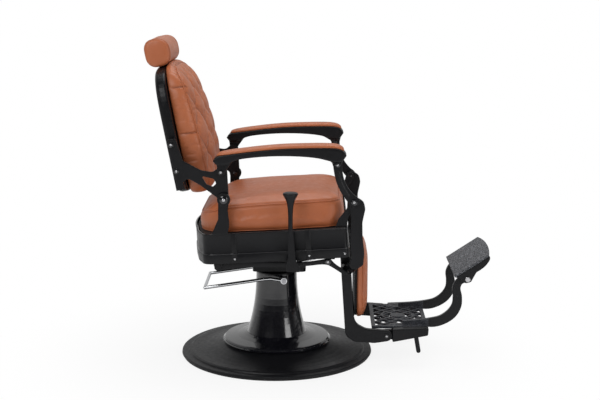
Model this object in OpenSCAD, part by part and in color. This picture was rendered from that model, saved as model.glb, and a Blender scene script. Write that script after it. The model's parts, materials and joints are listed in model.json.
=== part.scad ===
// Hydraulic barber chair. Millimetres, +X to the front, +Y to the sitter's left, +Z up.
// The origin is on the floor, in the centre of the base.

/* [Base and column] */
// Radius of the round base
base_r = 325; // [290:1:360]
// Height of the base rim above the floor
base_rim_h = 14; // [10:1:20]
// Width of the step ring inside the rim
base_step_w = 26; // [15:1:40]
// Height of the base where it meets the column flange
base_crown_h = 46; // [36:1:55]
// Radius of the glossy flange at the foot of the column
flange_r = 180; // [150:1:210]
// Height of the column flange
flange_h = 22; // [16:1:30]
// Radius at the foot of the column
column_foot_r = 101; // [85:1:112]
// Radius at the top of the column
column_top_r = 69; // [60:1:76]
// Height of the top of the column above the floor
column_top_z = 284; // [270:1:290]
// Wall of the column cover
column_wall = 4; // [3:0.5:6]

/* [Pump and pedal] */
// Radius of the lifting ram
ram_r = 21; // [18:0.5:24]
// Outer radius of the pump cylinder
pump_r = 44; // [38:1:48]
// Radius of the pedal rod
pedal_rod_r = 5.5; // [4:0.5:7]
// Distance of the pedal pivot in front of the column axis
pedal_x = 28; // [27:1:38]
// Height of the pedal pivot
pedal_z = 273; // [262:1:274]
// Half of the distance between the pedal arms
pedal_half_w = 100; // [85:1:110]
// Distance from the pedal pivot back to the foot bar
pedal_reach = 264; // [230:1:300]
// Drop from the pedal pivot to the foot bar
pedal_drop = 25; // [10:1:40]

/* [Seat] */
// Upward slope of the seat to the front, in degrees
seat_tilt = 3.2; // [0:0.1:5]
// Rear end of the seat skirt, behind the column axis
skirt_rear = 268; // [260:1:280]
// Front end of the seat skirt, in front of the column axis
skirt_front = 240; // [232:1:244]
// How far the side of the skirt stands out from the seat cushion
skirt_stand_out = 25; // [24:0.5:28]
// Sheet thickness of the skirt
skirt_wall = 3.5; // [2.5:0.25:3.75]
// Height of the underside of the skirt, above the column axis
skirt_low_z = 379; // [376:1:382]
// Height of the skirt
skirt_h = 96; // [90:1:104]
// Thickness of the seat board
seat_board_t = 12; // [9:1:14]
// Half of the width of the seat cushion
seat_half_w = 240; // [225:1:241]
// Height of the side of the seat cushion
seat_side_h = 89; // [60:1:94]
// Rise of the cushion's crown above its piped edge
seat_crown = 22; // [8:1:28]

/* [Side frames] */
// Recline pivot, fore and aft
recline_x = -156; // [-160:1:-152]
// Recline pivot, height
recline_z = 578; // [574:1:582]
// Rear armrest pivot, fore and aft
arm_rear_x = -164; // [-168:1:-160]
// Rear armrest pivot, height
arm_rear_z = 666; // [662:1:670]
// Front armrest pivot, fore and aft
arm_front_x = 202; // [199:1:205]
// Front armrest pivot, height
arm_front_z = 691; // [688:1:694]
// Leg pivot at the front of the seat, fore and aft
leg_pivot_x = 255; // [253:1:258]
// Leg pivot, height
leg_pivot_z = 572; // [569:1:575]
// Rear pin of the tie bar, fore and aft
tie_rear_x = -177; // [-180:1:-174]
// Rear pin of the tie bar, height
tie_rear_z = 356; // [354:1:359]
// Front pin of the tie bar, fore and aft
tie_front_x = 173; // [170:1:176]
// Front pin of the tie bar, height
tie_front_z = 374; // [371:1:376]

/* [Back] */
// Lean of the back from upright, in degrees
back_lean = 10.8; // [8:0.1:13]
// Rear face of the back shell at its foot, fore and aft
back_foot_x = -308; // [-312:1:-304]
// Foot of the back shell, height
back_foot_z = 580; // [576:1:586]
// Height of the back shell along its lean
back_h = 408; // [400:1:416]
// Half of the width of the back shell
back_half_w = 228; // [215:1:236]
// Thickness of the back shell
back_shell_t = 36; // [30:1:38]
// Half of the width of the back cushion
back_cushion_half_w = 200; // [185:1:210]
// Depth of the side band of the back cushion
back_band_t = 71; // [50:1:80]
// Rise of the back cushion's middle above its seam
back_crown = 25; // [20:1:40]
// Depth of the sewn tufts
tuft_depth = 13; // [6:1:18]

/* [Headrest] */
// Half of the width of the headrest
headrest_half_w = 128; // [110:1:140]
// Height of the headrest pad
headrest_h = 92; // [80:1:98]
// Depth of the headrest pad
headrest_d = 92; // [80:1:98]
// Rise of the middle of the headrest above the top of the back shell
headrest_rise = 50; // [48:1:66]

/* [Armrests] */
// Distance from the side of the seat cushion to the middle of an armrest
arm_out = 35; // [32:1:38]
// Width of the armrest frame
arm_frame_w = 60; // [54:1:64]
// Width of the armrest pad
arm_pad_w = 54; // [46:1:58]
// Thickness of the armrest pad over its middle
arm_pad_t = 13; // [9:1:16]

/* [Recline lever] */
// Distance from the side of the seat cushion to the middle of the recline lever
lever_out = 45; // [44:1:50]
// Lever shaft, fore and aft
lever_x = 62; // [58:1:66]
// Lever shaft, height
lever_z = 395; // [394:1:397]
// Height of the top of the lever's knob
lever_top_z = 606; // [590:1:630]

/* [Footrest] */
// Inner face of the leg castings, from the middle of the chair
leg_inner_y = 152; // [151:0.5:156]
// Thickness of the leg castings
leg_t = 18; // [14:1:22]
// Foot hinge, fore and aft
foot_hinge_x = 368; // [364:1:372]
// Foot hinge, height
foot_hinge_z = 105; // [102:1:108]
// Top of the footplate
plate_top_z = 130; // [126:1:134]
// Thickness of the footplate
plate_t = 9; // [7:1:12]
// Front edge of the footplate
plate_front_x = 507; // [490:1:515]
// Rear edge of the footplate
plate_rear_x = 320; // [312:1:330]
// Distance from the middle to the S-shaped foot arms
s_arm_y = 110; // [100:1:116]
// Thickness of the S-shaped foot arms
s_arm_t = 14; // [10:1:16]
// Foot pad pivot, fore and aft
pad_pivot_x = 634; // [628:1:640]
// Foot pad pivot, height
pad_pivot_z = 290; // [286:1:294]
// Half of the width of the foot pad
foot_pad_half_w = 138; // [130:1:150]
// Half of the width of the calf pad
calf_half_w = 140; // [125:1:146]

/* [Hidden] */
$fn = 48;
run_fit = 0.05;        // radial clearance of a shaft that turns in its bore
soft_gap = 0.3;        // clearance round a soft pad
side_gap = 1.5;        // clearance between plates that move past each other
plate_thk = 8;         // plates of the side frames
floor_ring_t = 3;      // rubber ring under the base
bolt_r = 5;            // pivot bolts of the side frames
recline_bolt_r = 8;    // the larger bolts of the recline pivots
head_t = 4;            // thickness of a bolt head

headrest_w = back_h + headrest_rise;
skirt_half_w = seat_half_w + skirt_stand_out;
arm_y = seat_half_w + arm_out;
lever_y = seat_half_w + lever_out;

// Layers of the side frames, from the middle of the chair outwards
seat_edge_y = seat_half_w + 3;
front_bracket_y = seat_edge_y;
tie_y = seat_half_w;
back_plate_y = tie_y + plate_thk + 2;
leg_plate_y = front_bracket_y + plate_thk + side_gap;
boss_y = back_plate_y + plate_thk + side_gap;
link_y = leg_plate_y + plate_thk + 1 + side_gap;
link_t = 9;
arm_lug_t = 10;

base_top_z = base_crown_h;
flange_top_z = base_crown_h + flange_h - 9;
ram_top_z = column_top_z + 12;
turret_t = 12;
carrier_low_z = ram_top_z + turret_t;
carrier_step_z = 340;
rail_low_z = 400;
rail_h = 40;
bush_h = 22;
piston_h = 18;
seat_board_z = skirt_low_z + skirt_h - seat_board_t - 3;
board_half_w = back_plate_y - 3;
cushion_z = seat_board_z + seat_board_t + soft_gap;

// ---- Outlines and small shapes ----

function unit(v) = v / norm(v);

// The arc that rounds corner q, between neighbours p and r, to radius rad
function corner_arc(p, q, r, rad, steps) =
    let (u = unit(p - q), v = unit(r - q), half = acos(max(-0.9999, min(0.9999, u * v))) / 2)
    let (run = rad / tan(half), c = q + unit(u + v) * rad / sin(half))
    let (a0 = atan2(q[1] + u[1] * run - c[1], q[0] + u[0] * run - c[0]))
    let (a1 = atan2(q[1] + v[1] * run - c[1], q[0] + v[0] * run - c[0]))
    let (turn = (a1 - a0 > 180) ? a1 - a0 - 360 : (a1 - a0 < -180) ? a1 - a0 + 360 : a1 - a0)
    [for (i = [0:steps]) c + rad * [cos(a0 + turn * i / steps), sin(a0 + turn * i / steps)]];

// Closed outline from corners [x, y, radius]
function rounded(c, steps = 5) = [for (i = [0:len(c) - 1])
    let (p = c[(i + len(c) - 1) % len(c)], q = c[i], r = c[(i + 1) % len(c)])
    each (q[2] > 0 ? corner_arc([p[0], p[1]], [q[0], q[1]], [r[0], r[1]], q[2], steps) : [[q[0], q[1]]])];

// A point on the smooth curve through the points of list p, between p[i] and p[i + 1]
function curve_point(p, i, t) =
    let (a = p[max(i - 1, 0)], b = p[i], c = p[i + 1], d = p[min(i + 2, len(p) - 1)])
    0.5 * (2 * b + (c - a) * t + (2 * a - 5 * b + 4 * c - d) * t * t + (3 * b - a - 3 * c + d) * t * t * t);

function smooth(p, steps = 5) = [for (i = [0:len(p) - 2]) for (k = [0:steps - 1])
    curve_point(p, i, k / steps), p[len(p) - 1]];

// Outline of a bar whose middle runs through points [x, z, width]
function bar_outline(mid, steps = 5) =
    let (m = smooth(mid, steps), last = len(m) - 1)
    let (side = [for (i = [0:last])
        let (d = [for (k = [0, 1]) m[min(i + 1, last)][k] - m[max(i - 1, 0)][k]])
        [-d[1], d[0]] / norm(d) * m[i][2] / 2])
    concat([for (i = [0:last]) [m[i][0], m[i][1]] + side[i]],
        [for (i = [last:-1:0]) [m[i][0], m[i][1]] - side[i]]);

// A plate that lies in the XZ plane and reaches from y0 to y1
module plate(outline, y0, y1)
    translate([0, y1, 0])
    rotate([90, 0, 0])
    linear_extrude(y1 - y0)
    polygon(outline);

// A round bar along Y
module rod_y(x, z, r, y0, y1)
    translate([x, y1, z])
    rotate([90, 0, 0])
    cylinder(h = y1 - y0, r = r);

// A domed bolt head along Y, with its flat side at y0
module bolt_head(x, z, r, y0)
    translate([x, y0, z])
    rotate([-90, 0, 0])
    rotate_extrude()
    polygon([[0, 0], [r, 0], [r, head_t * 0.5], [r * 0.75, head_t], [0, head_t]]);

module both_sides() {
    children();
    mirror([0, 1, 0]) children();
}

// A round rod between two points
module rod(a, b, r) {
    d = b - a;
    translate(a)
    rotate([0, acos(d[2] / norm(d)), atan2(d[1], d[0])])
    cylinder(h = norm(d), r = r, $fn = 24);
}

// Closed skin over a list of rings that all have the same number of points
module skin(rings) {
    n = len(rings[0]);
    last = len(rings) - 1;
    points = concat([for (r = rings) each r], [mean(rings[0]), mean(rings[last])]);
    walls = [for (k = [0:last - 1]) for (i = [0:n - 1]) let (j = (i + 1) % n)
        each [[k * n + i, (k + 1) * n + j, k * n + j], [k * n + i, (k + 1) * n + i, (k + 1) * n + j]]];
    low = len(rings) * n;
    caps = [for (i = [0:n - 1]) let (j = (i + 1) % n)
        each [[low, i, j], [low + 1, last * n + j, last * n + i]]];
    polyhedron(points, concat(walls, caps), convexity = 6);
}

function mean(p) = [for (k = [0:2]) sum([for (q = p) q[k]]) / len(p)];
function sum(v, i = 0) = i < len(v) ? v[i] + sum(v, i + 1) : 0;

// The seat slopes about the underside of its skirt
module tilted()
    translate([0, 0, skirt_low_z])
    rotate([0, -seat_tilt, 0])
    translate([0, 0, -skirt_low_z])
    children();

// Height at x of a level that lies at height z over the column axis
function tilt_z(x, z) = skirt_low_z + (z - skirt_low_z) / cos(seat_tilt) + x * tan(seat_tilt);

module leaned()
    translate([back_foot_x, 0, back_foot_z])
    rotate([0, -back_lean, 0])
    children();

// ---- Base and column ----

module floor_ring()
    color("#202020")
    rotate_extrude($fn = 96)
    translate([base_r - 22, 0])
    square([18, floor_ring_t]);

// Under the disc: room for the ring, the bolts and the bearing
module base_disc() {
    step_r = base_r - base_step_w;
    hub_r = pump_r + 16;
    color("#1c1c1e")
    rotate_extrude($fn = 96)
    polygon(concat(
        [[hub_r, base_top_z], [hub_r, base_top_z - 14], [flange_r, base_top_z - 14]],
        [[step_r - 14, base_rim_h - 6], [base_r - 24, floor_ring_t], [base_r - 2, floor_ring_t]],
        [[base_r, floor_ring_t + 3], [base_r - 1, base_rim_h - 3], [base_r - 4, base_rim_h - 1]],
        [[step_r + 2, base_rim_h], [step_r - 1, base_rim_h + 4], [step_r - 8, base_rim_h + 6]],
        [for (t = [0:5]) let (u = t / 5)
            [step_r - 12 - u * (step_r - 12 - flange_r), base_rim_h + 6 + (base_top_z - base_rim_h - 12) * u * u]],
        [[flange_r - 10, base_top_z]]));
}

module base_bolts()
    color("#9a9a9c")
    for (a = [0:60:300])
    rotate([0, 0, a])
    translate([flange_r - 60, 0, base_top_z - 14 - head_t - 2])
    cylinder(h = head_t + 2, r = 8, $fn = 6);

module swivel_bearing()
    color("#b5b5b8")
    rotate_extrude($fn = 64)
    translate([pump_r + 20, base_top_z])
    square([26, 5]);

bearing_top_z = base_top_z + 5;

module column_flange() {
    foot = column_foot_r - 3;
    color("#131316")
    rotate_extrude($fn = 96)
    polygon([[pump_r + 18, bearing_top_z], [flange_r - 12, bearing_top_z], [flange_r - 12, base_top_z + 0.5],
        [flange_r + 3, base_top_z + 0.5], [flange_r + 4, base_top_z + 3], [flange_r, base_top_z + 6],
        [flange_r, flange_top_z - 5], [flange_r - 4, flange_top_z - 1], [flange_r - 9, flange_top_z],
        [column_foot_r + 34, flange_top_z + 5], [column_foot_r + 12, flange_top_z + 10],
        [foot, flange_top_z + 15], [pump_r + 18, flange_top_z + 15]]);
}

column_low_z = flange_top_z + 15;

function column_r(t) = column_top_r + (column_foot_r - column_top_r) * pow(1 - t, 2.2);

module column_cover() {
    h = column_top_z - column_low_z;
    outer = [for (i = [0:10]) [column_r(i / 10), column_low_z + h * i / 10]];
    inner = [for (i = [10:-1:0]) [column_r(i / 10) - column_wall, column_low_z + h * i / 10]];
    color("#0e0e12")
    difference() {
        rotate_extrude($fn = 96) polygon(concat(outer, inner));
        rod_y(pedal_x, pedal_z, pedal_rod_r + 2 + run_fit, -column_foot_r, column_foot_r);
    }
}

pump_low_z = base_top_z - 10;
pump_top_z = pedal_z - 16;

module pump_cylinder()
    color("#8c8c90")
    rotate_extrude()
    polygon([[0, pump_low_z], [pump_r, pump_low_z], [pump_r, bearing_top_z], [pump_r + 18, bearing_top_z],
        [pump_r + 18, flange_top_z + 10], [pump_r, flange_top_z + 10], [pump_r, pump_top_z],
        [ram_r + 9, pump_top_z], [ram_r + 9, pump_low_z + 8], [0, pump_low_z + 8]]);

module guide_bush()
    color("#b58a3c")
    rotate_extrude()
    translate([ram_r + run_fit, pump_top_z - bush_h])
    square([9 - run_fit, bush_h]);

module column_collar()
    color("#18181a")
    rotate_extrude()
    polygon([[ram_r + 1, column_top_z], [column_top_r, column_top_z], [column_top_r, column_top_z + 4],
        [column_top_r - 6, column_top_z + 8], [ram_r + 1, column_top_z + 8]]);

// ---- Pedal: a U of chromed rod, open round the column ----

bend_bulge = 0.4;      // swelling of the rod at its bends

module pedal_bar() {
    rear_x = pedal_x - pedal_reach;
    arm = [[pedal_x, pedal_half_w, pedal_z], [pedal_x - 44, pedal_half_w, pedal_z + 7],
        [pedal_x - 66, pedal_half_w, pedal_z + 5], [rear_x, pedal_half_w, pedal_z - pedal_drop]];
    color("#c9ccd0") {
        both_sides() {
            difference() {
                union() {
                    for (i = [0:len(arm) - 2]) rod(arm[i], arm[i + 1], pedal_rod_r);
                    for (i = [1:len(arm) - 1]) translate(arm[i]) sphere(pedal_rod_r + bend_bulge, $fn = 24);
                    rod_y(pedal_x, pedal_z, pedal_rod_r + 5, pedal_half_w - 6, pedal_half_w + 6);
                }
                rod_y(pedal_x, pedal_z, pedal_rod_r, pedal_half_w - 8, pedal_half_w + 8);
            }
        }
        rod_y(rear_x, pedal_z - pedal_drop, pedal_rod_r, -pedal_half_w, pedal_half_w);
    }
}

module pedal_shaft()
    color("#8c8c90") {
        rod_y(pedal_x, pedal_z, pedal_rod_r, -pedal_half_w - 10, pedal_half_w + 10);
        both_sides() {
            rod_y(pedal_x, pedal_z, pedal_rod_r + 2, pedal_x, pedal_half_w - 6);
            rod_y(pedal_x, pedal_z, 8, pedal_half_w + 6, pedal_half_w + 10);
        }
    }

// ---- Lift ----

piston_z = pump_low_z + 10;

module lift_ram()
    color("#d5d7da")
    translate([0, 0, piston_z + piston_h])
    cylinder(h = ram_top_z - piston_z - piston_h, r = ram_r);

module ram_piston()
    color("#5a5a5e")
    translate([0, 0, piston_z])
    cylinder(h = piston_h, r = ram_r + 9 - run_fit);

module turret_plate()
    color("#18181a")
    translate([0, 0, ram_top_z])
    linear_extrude(turret_t)
    polygon(rounded([[-78, -70, 14], [100, -70, 14], [100, 70, 14], [-78, 70, 14]]));

module seat_carrier()
    color("#17171a")
    difference() {
        union() {
            plate(rounded([[-72, carrier_low_z, 4], [96, carrier_low_z, 4], [112, rail_low_z, 4],
                [-40, rail_low_z, 4], [-40, carrier_step_z, 6], [-72, carrier_step_z, 4]]), -75, 75);
        }
        translate([-32, -67, carrier_low_z + 10]) cube([160, 134, rail_low_z - carrier_low_z - 20]);
    }

rail_x = [-35, 88];
rail_w = 24;

rail_wall = 3;

// Two box rails across the carrier, that reach up to the seat board
module cross_rails() {
    half = skirt_half_w - skirt_wall - 3;
    color("#1a1a1c")
    difference() {
        for (x = rail_x) translate([x, -half, rail_low_z]) cube([rail_w, 2 * half, 100]);
        tilted() translate([-400, -400, seat_board_z]) cube([800, 800, 200]);
        both_sides() tilted()
            translate([-400, skirt_half_w - flange_in - 2, seat_board_z - flange_t - 0.1])
            cube([800, 100, 200]);
        for (x = rail_x) translate([x + rail_wall, -half - 1, rail_low_z + rail_wall])
            cube([rail_w - 2 * rail_wall, 2 * half + 2, rail_h]);
    }
}

// ---- Seat ----

// Outline of the skirt in plan, drawn in by inset on all sides
function skirt_plan(inset) = rounded([
    [-skirt_rear - 4 + inset, 0, 600],
    [-skirt_rear + 26 + inset, -skirt_half_w + 75 + inset * 0.3, 160],
    [-skirt_rear + 52 + inset, -skirt_half_w + 2 + inset, 36 - inset * 0.5],
    [0, -skirt_half_w + inset, 900],
    [skirt_front - inset, -skirt_half_w + 4 + inset, 14 - inset * 0.5],
    [skirt_front - inset, skirt_half_w - 4 - inset, 14 - inset * 0.5],
    [0, skirt_half_w - inset, 900],
    [-skirt_rear + 52 + inset, skirt_half_w - 2 - inset, 36 - inset * 0.5],
    [-skirt_rear + 26 + inset, skirt_half_w - 75 - inset * 0.3, 160]], 8);

band_h = 31;           // height of the thicker band at the foot of the skirt
band_out = 2.5;        // how far that band stands out
flange_in = 28;        // width of the inward flange that carries the seat board
flange_t = 4;
slot_x = [-194, -72];  // slots in that flange, for the lower arms of the back

module skirt_wall_at(out, z, h)
    translate([0, 0, z])
    linear_extrude(h)
    difference() {
        polygon(skirt_plan(-out));
        polygon(skirt_plan(skirt_wall));
    }

module seat_skirt()
    color("#15151a")
    difference() {
        tilted() {
            skirt_wall_at(0, skirt_low_z, skirt_h);
            skirt_wall_at(band_out, skirt_low_z, band_h);
            skirt_wall_at(1.2, skirt_low_z + skirt_h - 4, 4);
            for (x = [-122, 114]) both_sides()
                translate([x - 8, skirt_half_w - 3, skirt_low_z])
                cube([16, 5, skirt_h]);
            difference() {
                translate([0, 0, seat_board_z - flange_t])
                linear_extrude(flange_t)
                difference() {
                    polygon(skirt_plan(1));
                    polygon(skirt_plan(flange_in));
                }
                both_sides()
                    translate([slot_x[0], back_plate_y - 1, skirt_low_z])
                    cube([slot_x[1] - slot_x[0], plate_thk + 2, skirt_h]);
            }
        }
        rod_y(lever_x, lever_z, lever_shaft_r + 1, -skirt_half_w - 9, -skirt_half_w + 9);
    }

module seat_board()
    color("#a98f6c")
    tilted()
    translate([0, 0, seat_board_z])
    linear_extrude(seat_board_t)
    polygon(rounded([[-skirt_rear + 4, 0, 600], [-skirt_rear + 36, -board_half_w + 60, 160],
        [-skirt_rear + 60, -board_half_w, 26], [skirt_front - 6, -board_half_w, 16],
        [skirt_front - 6, board_half_w, 16], [-skirt_rear + 60, board_half_w, 26],
        [-skirt_rear + 36, board_half_w - 60, 160]], 8));

// Plan of the seat cushion, drawn in by inset
function cushion_plan(inset) = rounded([
    [-skirt_rear + 14 + inset, -seat_half_w + 10 + inset, 118 - inset * 0.7],
    [20, -seat_half_w + inset, 700],
    [skirt_front - 8 - inset, -seat_half_w + 8 + inset, 52 - inset * 0.3],
    [skirt_front - 8 - inset, seat_half_w - 8 - inset, 52 - inset * 0.3],
    [20, seat_half_w - inset, 700],
    [-skirt_rear + 14 + inset, seat_half_w - 10 - inset, 118 - inset * 0.7]], 8);

// Rings of the seat cushion: [inset, share of the side height, share of the crown]
CUSHION_RINGS = [[9, 0, 0], [4, 0.1, 0], [1, 0.3, 0], [0, 0.55, 0], [2, 0.8, 0], [6, 0.96, 0], [9, 1, 0],
    [12, 1, 0.16], [24, 1, 0.42], [48, 1, 0.68], [85, 1, 0.87]];
cushion_nose = 0.5;    // how strongly the top falls away to the rear

module seat_cushion()
    color("#b5622f")
    tilted()
    skin(concat([for (r = CUSHION_RINGS)
        [for (p = cushion_plan(r[0])) [p[0], p[1], cushion_top(p[0], r)]]],
        [[for (p = cushion_plan(85)) let (r = [0, 1, 1])
            [p[0] * 0.35, p[1] * 0.35, cushion_top(p[0] * 0.35, r)]]]));

// The rear of the cushion is lower, to leave room for the foot of the back
function cushion_top(x, r) =
    cushion_z + seat_side_h * r[1] * (1 - 0.35 * rear_fall(x)) + seat_crown * r[2] * (1 - 0.66 * rear_fall(x));
function rear_fall(x) = pow(max(0, (-90 - x) / 165), 1.6);

// ---- Fixed brackets on the seat ----

function skirt_top(x) = tilt_z(x, skirt_low_z + skirt_h) + 0.2;

module rear_bracket() {
    x = recline_x;
    color("#141416")
    difference() {
        union() {
            plate(rounded([[x + 12, skirt_top(x + 12), 0], [x + 17, skirt_top(x) + 32, 20],
                [x + 11, recline_z - 20, 30], [x + 14, recline_z, 10], [x, recline_z + 6, 5],
                [x - 14, recline_z, 10], [x - 12, recline_z - 20, 30],
                [x - 16, skirt_top(x) + 54, 60], [x - 40, skirt_top(x - 40), 0]]), boss_y, boss_y + 7);
            rod_y(x, recline_z, 21, boss_y, boss_y + 11);
        }
        rod_y(x, recline_z, recline_bolt_r, boss_y - 1, boss_y + 12);
    }
}

module front_bracket()
    color("#141416")
    difference() {
        plate(rounded([[196, skirt_top(196), 0], [233, skirt_top(233), 0], [238, skirt_top(238) + 34, 14],
            [266, leg_pivot_z - 12, 10], [leg_pivot_x + 12, leg_pivot_z + 13, 12],
            [leg_pivot_x - 12, leg_pivot_z + 12, 12], [232, leg_pivot_z - 26, 30],
            [206, skirt_top(206) + 26, 24]]), front_bracket_y, front_bracket_y + plate_thk);
        rod_y(leg_pivot_x, leg_pivot_z, bolt_r + 1, front_bracket_y - 1, front_bracket_y + plate_thk + 1);
    }

// Bolts of the recline pivots and of the leg pivots
module seat_pivot_bolts() {
    d_out = link_y + link_t + 0.5;
    color("#c4c4c6")
    both_sides() {
        rod_y(recline_x, recline_z, recline_bolt_r, back_plate_y - 2, boss_y + 11);
        bolt_head(recline_x, recline_z, 13, boss_y + 11);
        rod_y(leg_pivot_x, leg_pivot_z, bolt_r + 1, front_bracket_y, d_out);
        bolt_head(leg_pivot_x, leg_pivot_z, 10, d_out);
    }
}

// ---- Recline lock under the seat ----

lock_y = 112;
lock_z = 362;
lock_tube_x = [-20, 150];

module lock_tube()
    color("#19191b") {
        difference() {
            union() {
                translate([lock_tube_x[0], lock_y, lock_z])
                rotate([0, 90, 0])
                cylinder(h = lock_tube_x[1] - lock_tube_x[0], r = 14);
                for (x = [-12, 92]) translate([x, 75, lock_z - 10]) cube([14, lock_y - 75, 20]);
            }
            translate([lock_tube_x[0] - 1, lock_y, lock_z])
            rotate([0, 90, 0])
            cylinder(h = 166, r = 6 + run_fit);
        }
    }

cross_bar_r = 8;
yoke_play = 1.7;       // play of the cross bar in the yoke's slot, fore and aft
yoke_low_z = tie_rear_z - 30;
yoke_high_z = tie_rear_z + 39;
lock_rod_l = 173;

// The lock rod, with a slotted yoke that the cross bar of the back slides in
module lock_rod() {
    slot_r = cross_bar_r + yoke_play;
    half = slot_r + 5;
    color("#c9ccd0") {
        translate([tie_rear_x + half - 1, lock_y, lock_z])
        rotate([0, 90, 0])
        cylinder(h = lock_rod_l, r = 6);
        difference() {
            plate([for (p = rounded([[-half, yoke_low_z, 8], [half, yoke_low_z, 8], [half, yoke_high_z, 8],
                [-half, yoke_high_z, 8]])) [p[0] + tie_rear_x, p[1]]], lock_y - 6, lock_y + 6);
            translate([tie_rear_x - slot_r, lock_y - 7, yoke_low_z + 6])
            cube([2 * slot_r, 14, yoke_high_z - yoke_low_z - 12]);
        }
    }
}

// ---- Recline lever ----

lever_shaft_r = 6;
lever_in_y = 190;
crank_drop = [4, -39.6];  // from the lever shaft to the pin of the release rod
crank_play = 0.4;         // play of that pin, for the arc it turns through

module recline_lever() {
    neck_z = lever_z + 90;
    color("#17171a")
    mirror([0, 1, 0])
    difference() {
        union() {
            plate(rounded([[lever_x - 20, lever_z - 45, 3], [lever_x + 23, lever_z - 45, 3],
                [lever_x + 23, lever_z - 21, 6], [lever_x + 10, lever_z - 12, 12],
                [lever_x + 1, neck_z, 4], [lever_x - 15, neck_z, 4], [lever_x - 15, lever_z, 20],
                [lever_x - 20, lever_z - 20, 8]]), lever_y - 6, lever_y + 6);
            translate([lever_x - 7, lever_y, neck_z - 12])
            lever_grip(lever_top_z - neck_z + 12);
        }
        rod_y(lever_x, lever_z, lever_shaft_r, lever_y - 10, lever_y + 3);
    }
}

// Round grip that flares to a knob at its top
module lever_grip(h)
    rotate_extrude()
    polygon([[0, 0], [7.4, 0], [7.4, h * 0.4], [8.6, h * 0.6], [11, h * 0.72], [15, h * 0.82], [21, h * 0.9],
        [24.5, h * 0.95], [23.5, h * 0.98], [15, h], [0, h]]);

module lever_shaft()
    color("#8c8c90") {
        rod_y(lever_x, lever_z, lever_shaft_r, -lever_y, -lever_in_y);
        difference() {
            plate(bar_outline([[lever_x, lever_z, 22], [lever_x + crank_drop[0] * 0.5, lever_z - 19, 17],
                [lever_x + crank_drop[0], lever_z + crank_drop[1], 15],
                [lever_x + crank_drop[0] + 2, lever_z + crank_drop[1] - 6, 12]]), -lever_in_y - 12, -lever_in_y - 4);
            rod_y(lever_x + crank_drop[0], lever_z + crank_drop[1], release_pin_r + crank_play, -lever_in_y - 13, -lever_in_y - 3);
        }
    }

bearing_y = skirt_half_w - 31;

// Bearing of the lever shaft, screwed under the front cross rail's end
module lever_bearing()
    color("#1a1a1c")
    difference() {
        plate(rounded([[lever_x - 12, lever_z - 11, 10], [lever_x + 12, lever_z - 11, 10],
            [rail_x[1] + 14, rail_low_z - 6, 3], [rail_x[1] + 14, rail_low_z, 0], [lever_x + 2, rail_low_z, 0],
            [lever_x + 2, lever_z + 12, 4], [lever_x - 12, lever_z + 12, 8]]), -bearing_y, -bearing_y + 16);
        rod_y(lever_x, lever_z, lever_shaft_r + run_fit, -bearing_y - 1, -bearing_y + 17);
    }

rod_front = [176, 381];
rod_r = 3;
release_pin_r = 3.3;

module release_rod()
    color("#d5d7da") {
        x0 = lever_x + crank_drop[0];
        z0 = lever_z + crank_drop[1];
        rod([x0, -lever_in_y - 1, z0], [rod_front[0], -lever_in_y - 1, rod_front[1]], rod_r);
        rod_y(x0, z0, release_pin_r, -lever_in_y - 13, -lever_in_y + 3);
        rod([rod_front[0], -lever_in_y - 1, rod_front[1]], [rod_front[0] + 24, -lever_in_y - 1, rod_front[1] + 6], rod_r);
        translate([rod_front[0], -lever_in_y - 1, rod_front[1]]) sphere(rod_r + bend_bulge, $fn = 24);
    }

release_block_x = [178, 196];

// Guide of the release rod, hung from the seat board
module release_block() {
    y = -lever_in_y - 1;
    top_z = tilt_z(184, seat_board_z) - 0.3;
    color("#1a1a1c")
    difference() {
        union() {
            translate([release_block_x[0] + 2, y - 9, rod_front[1] - 10]) cube([16, 18, 30]);
            translate([release_block_x[0] + 6, y - 4, rod_front[1] + 18]) cube([8, 8, top_z - rod_front[1] - 18]);
        }
        translate([rod_front[0], y - 4.5, rod_front[1] - 4]) cube([40, 9, 18]);
    }
}

// ---- Back ----

// A point of the back, [across, up]. u and v run from -1 to 1, and the edge of that square
// becomes the outline: straight sides, a well rounded top and a squarer foot.
function back_point(u, v, half_w, low, top) =
    let (r = max(abs(u), abs(v)), n = v > 0 ? 4 : 7)
    let (k = r == 0 ? 1 : r / pow(pow(abs(u), n) + pow(abs(v), n), 1 / n))
    [half_w * u * k, (low + top) / 2 + (top - low) / 2 * v * k];

GRID = 24;             // cells along each side of the cushion's front

// The edge of the square, as [u, v] pairs in order round it
function edge_uv(n) = [for (s = [0:3]) for (i = [0:n - 1]) let (t = -1 + 2 * i / n)
    s == 0 ? [t, -1] : s == 1 ? [1, t] : s == 2 ? [-t, 1] : [-1, -t]];

function back_plan(half_w, low, top, inset) =
    [for (q = edge_uv(GRID)) back_point(q[0], q[1], half_w - inset, low + inset, top - inset)];

// Places a point [across, up] in the back's frame, at depth d in front of its rear face
function in_back(p, d) = [d, -p[0], p[1]];

SHELL_RINGS = [[16, 0], [7, 2], [2, 7], [0, 14], [0, 30], [1.5, 34.5], [5, 36]];

module back_shell()
    color("#131316")
    leaned()
    difference() {
        skin([for (k = [len(SHELL_RINGS) - 1:-1:0]) let (r = SHELL_RINGS[k])
            [for (p = back_plan(back_half_w, 0, back_h, r[0])) in_back(p, r[1] * back_shell_t / 36)]]);
        translate([10, -14, back_h - 170]) cube([16, 28, 200]);
    }

// Diamond quilting: 0 in the middle of a diamond, 1 along its seams, more at the tufts
tuft_dx = 2 * back_cushion_half_w / 3;
tuft_dz = 148;
tuft_low = 116;         // height of a crossing of the seams on the middle line
function tuft(p) =
    let (a = p[0] / tuft_dx + (p[1] - tuft_low) / tuft_dz, b = p[0] / tuft_dx - (p[1] - tuft_low) / tuft_dz)
    let (puff = abs(sin(180 * a) * sin(180 * b)), sewn = abs(cos(180 * a) * cos(180 * b)))
    0.72 * (1 - pow(puff, 0.45)) + 0.28 * pow(sewn, 6);

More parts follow.
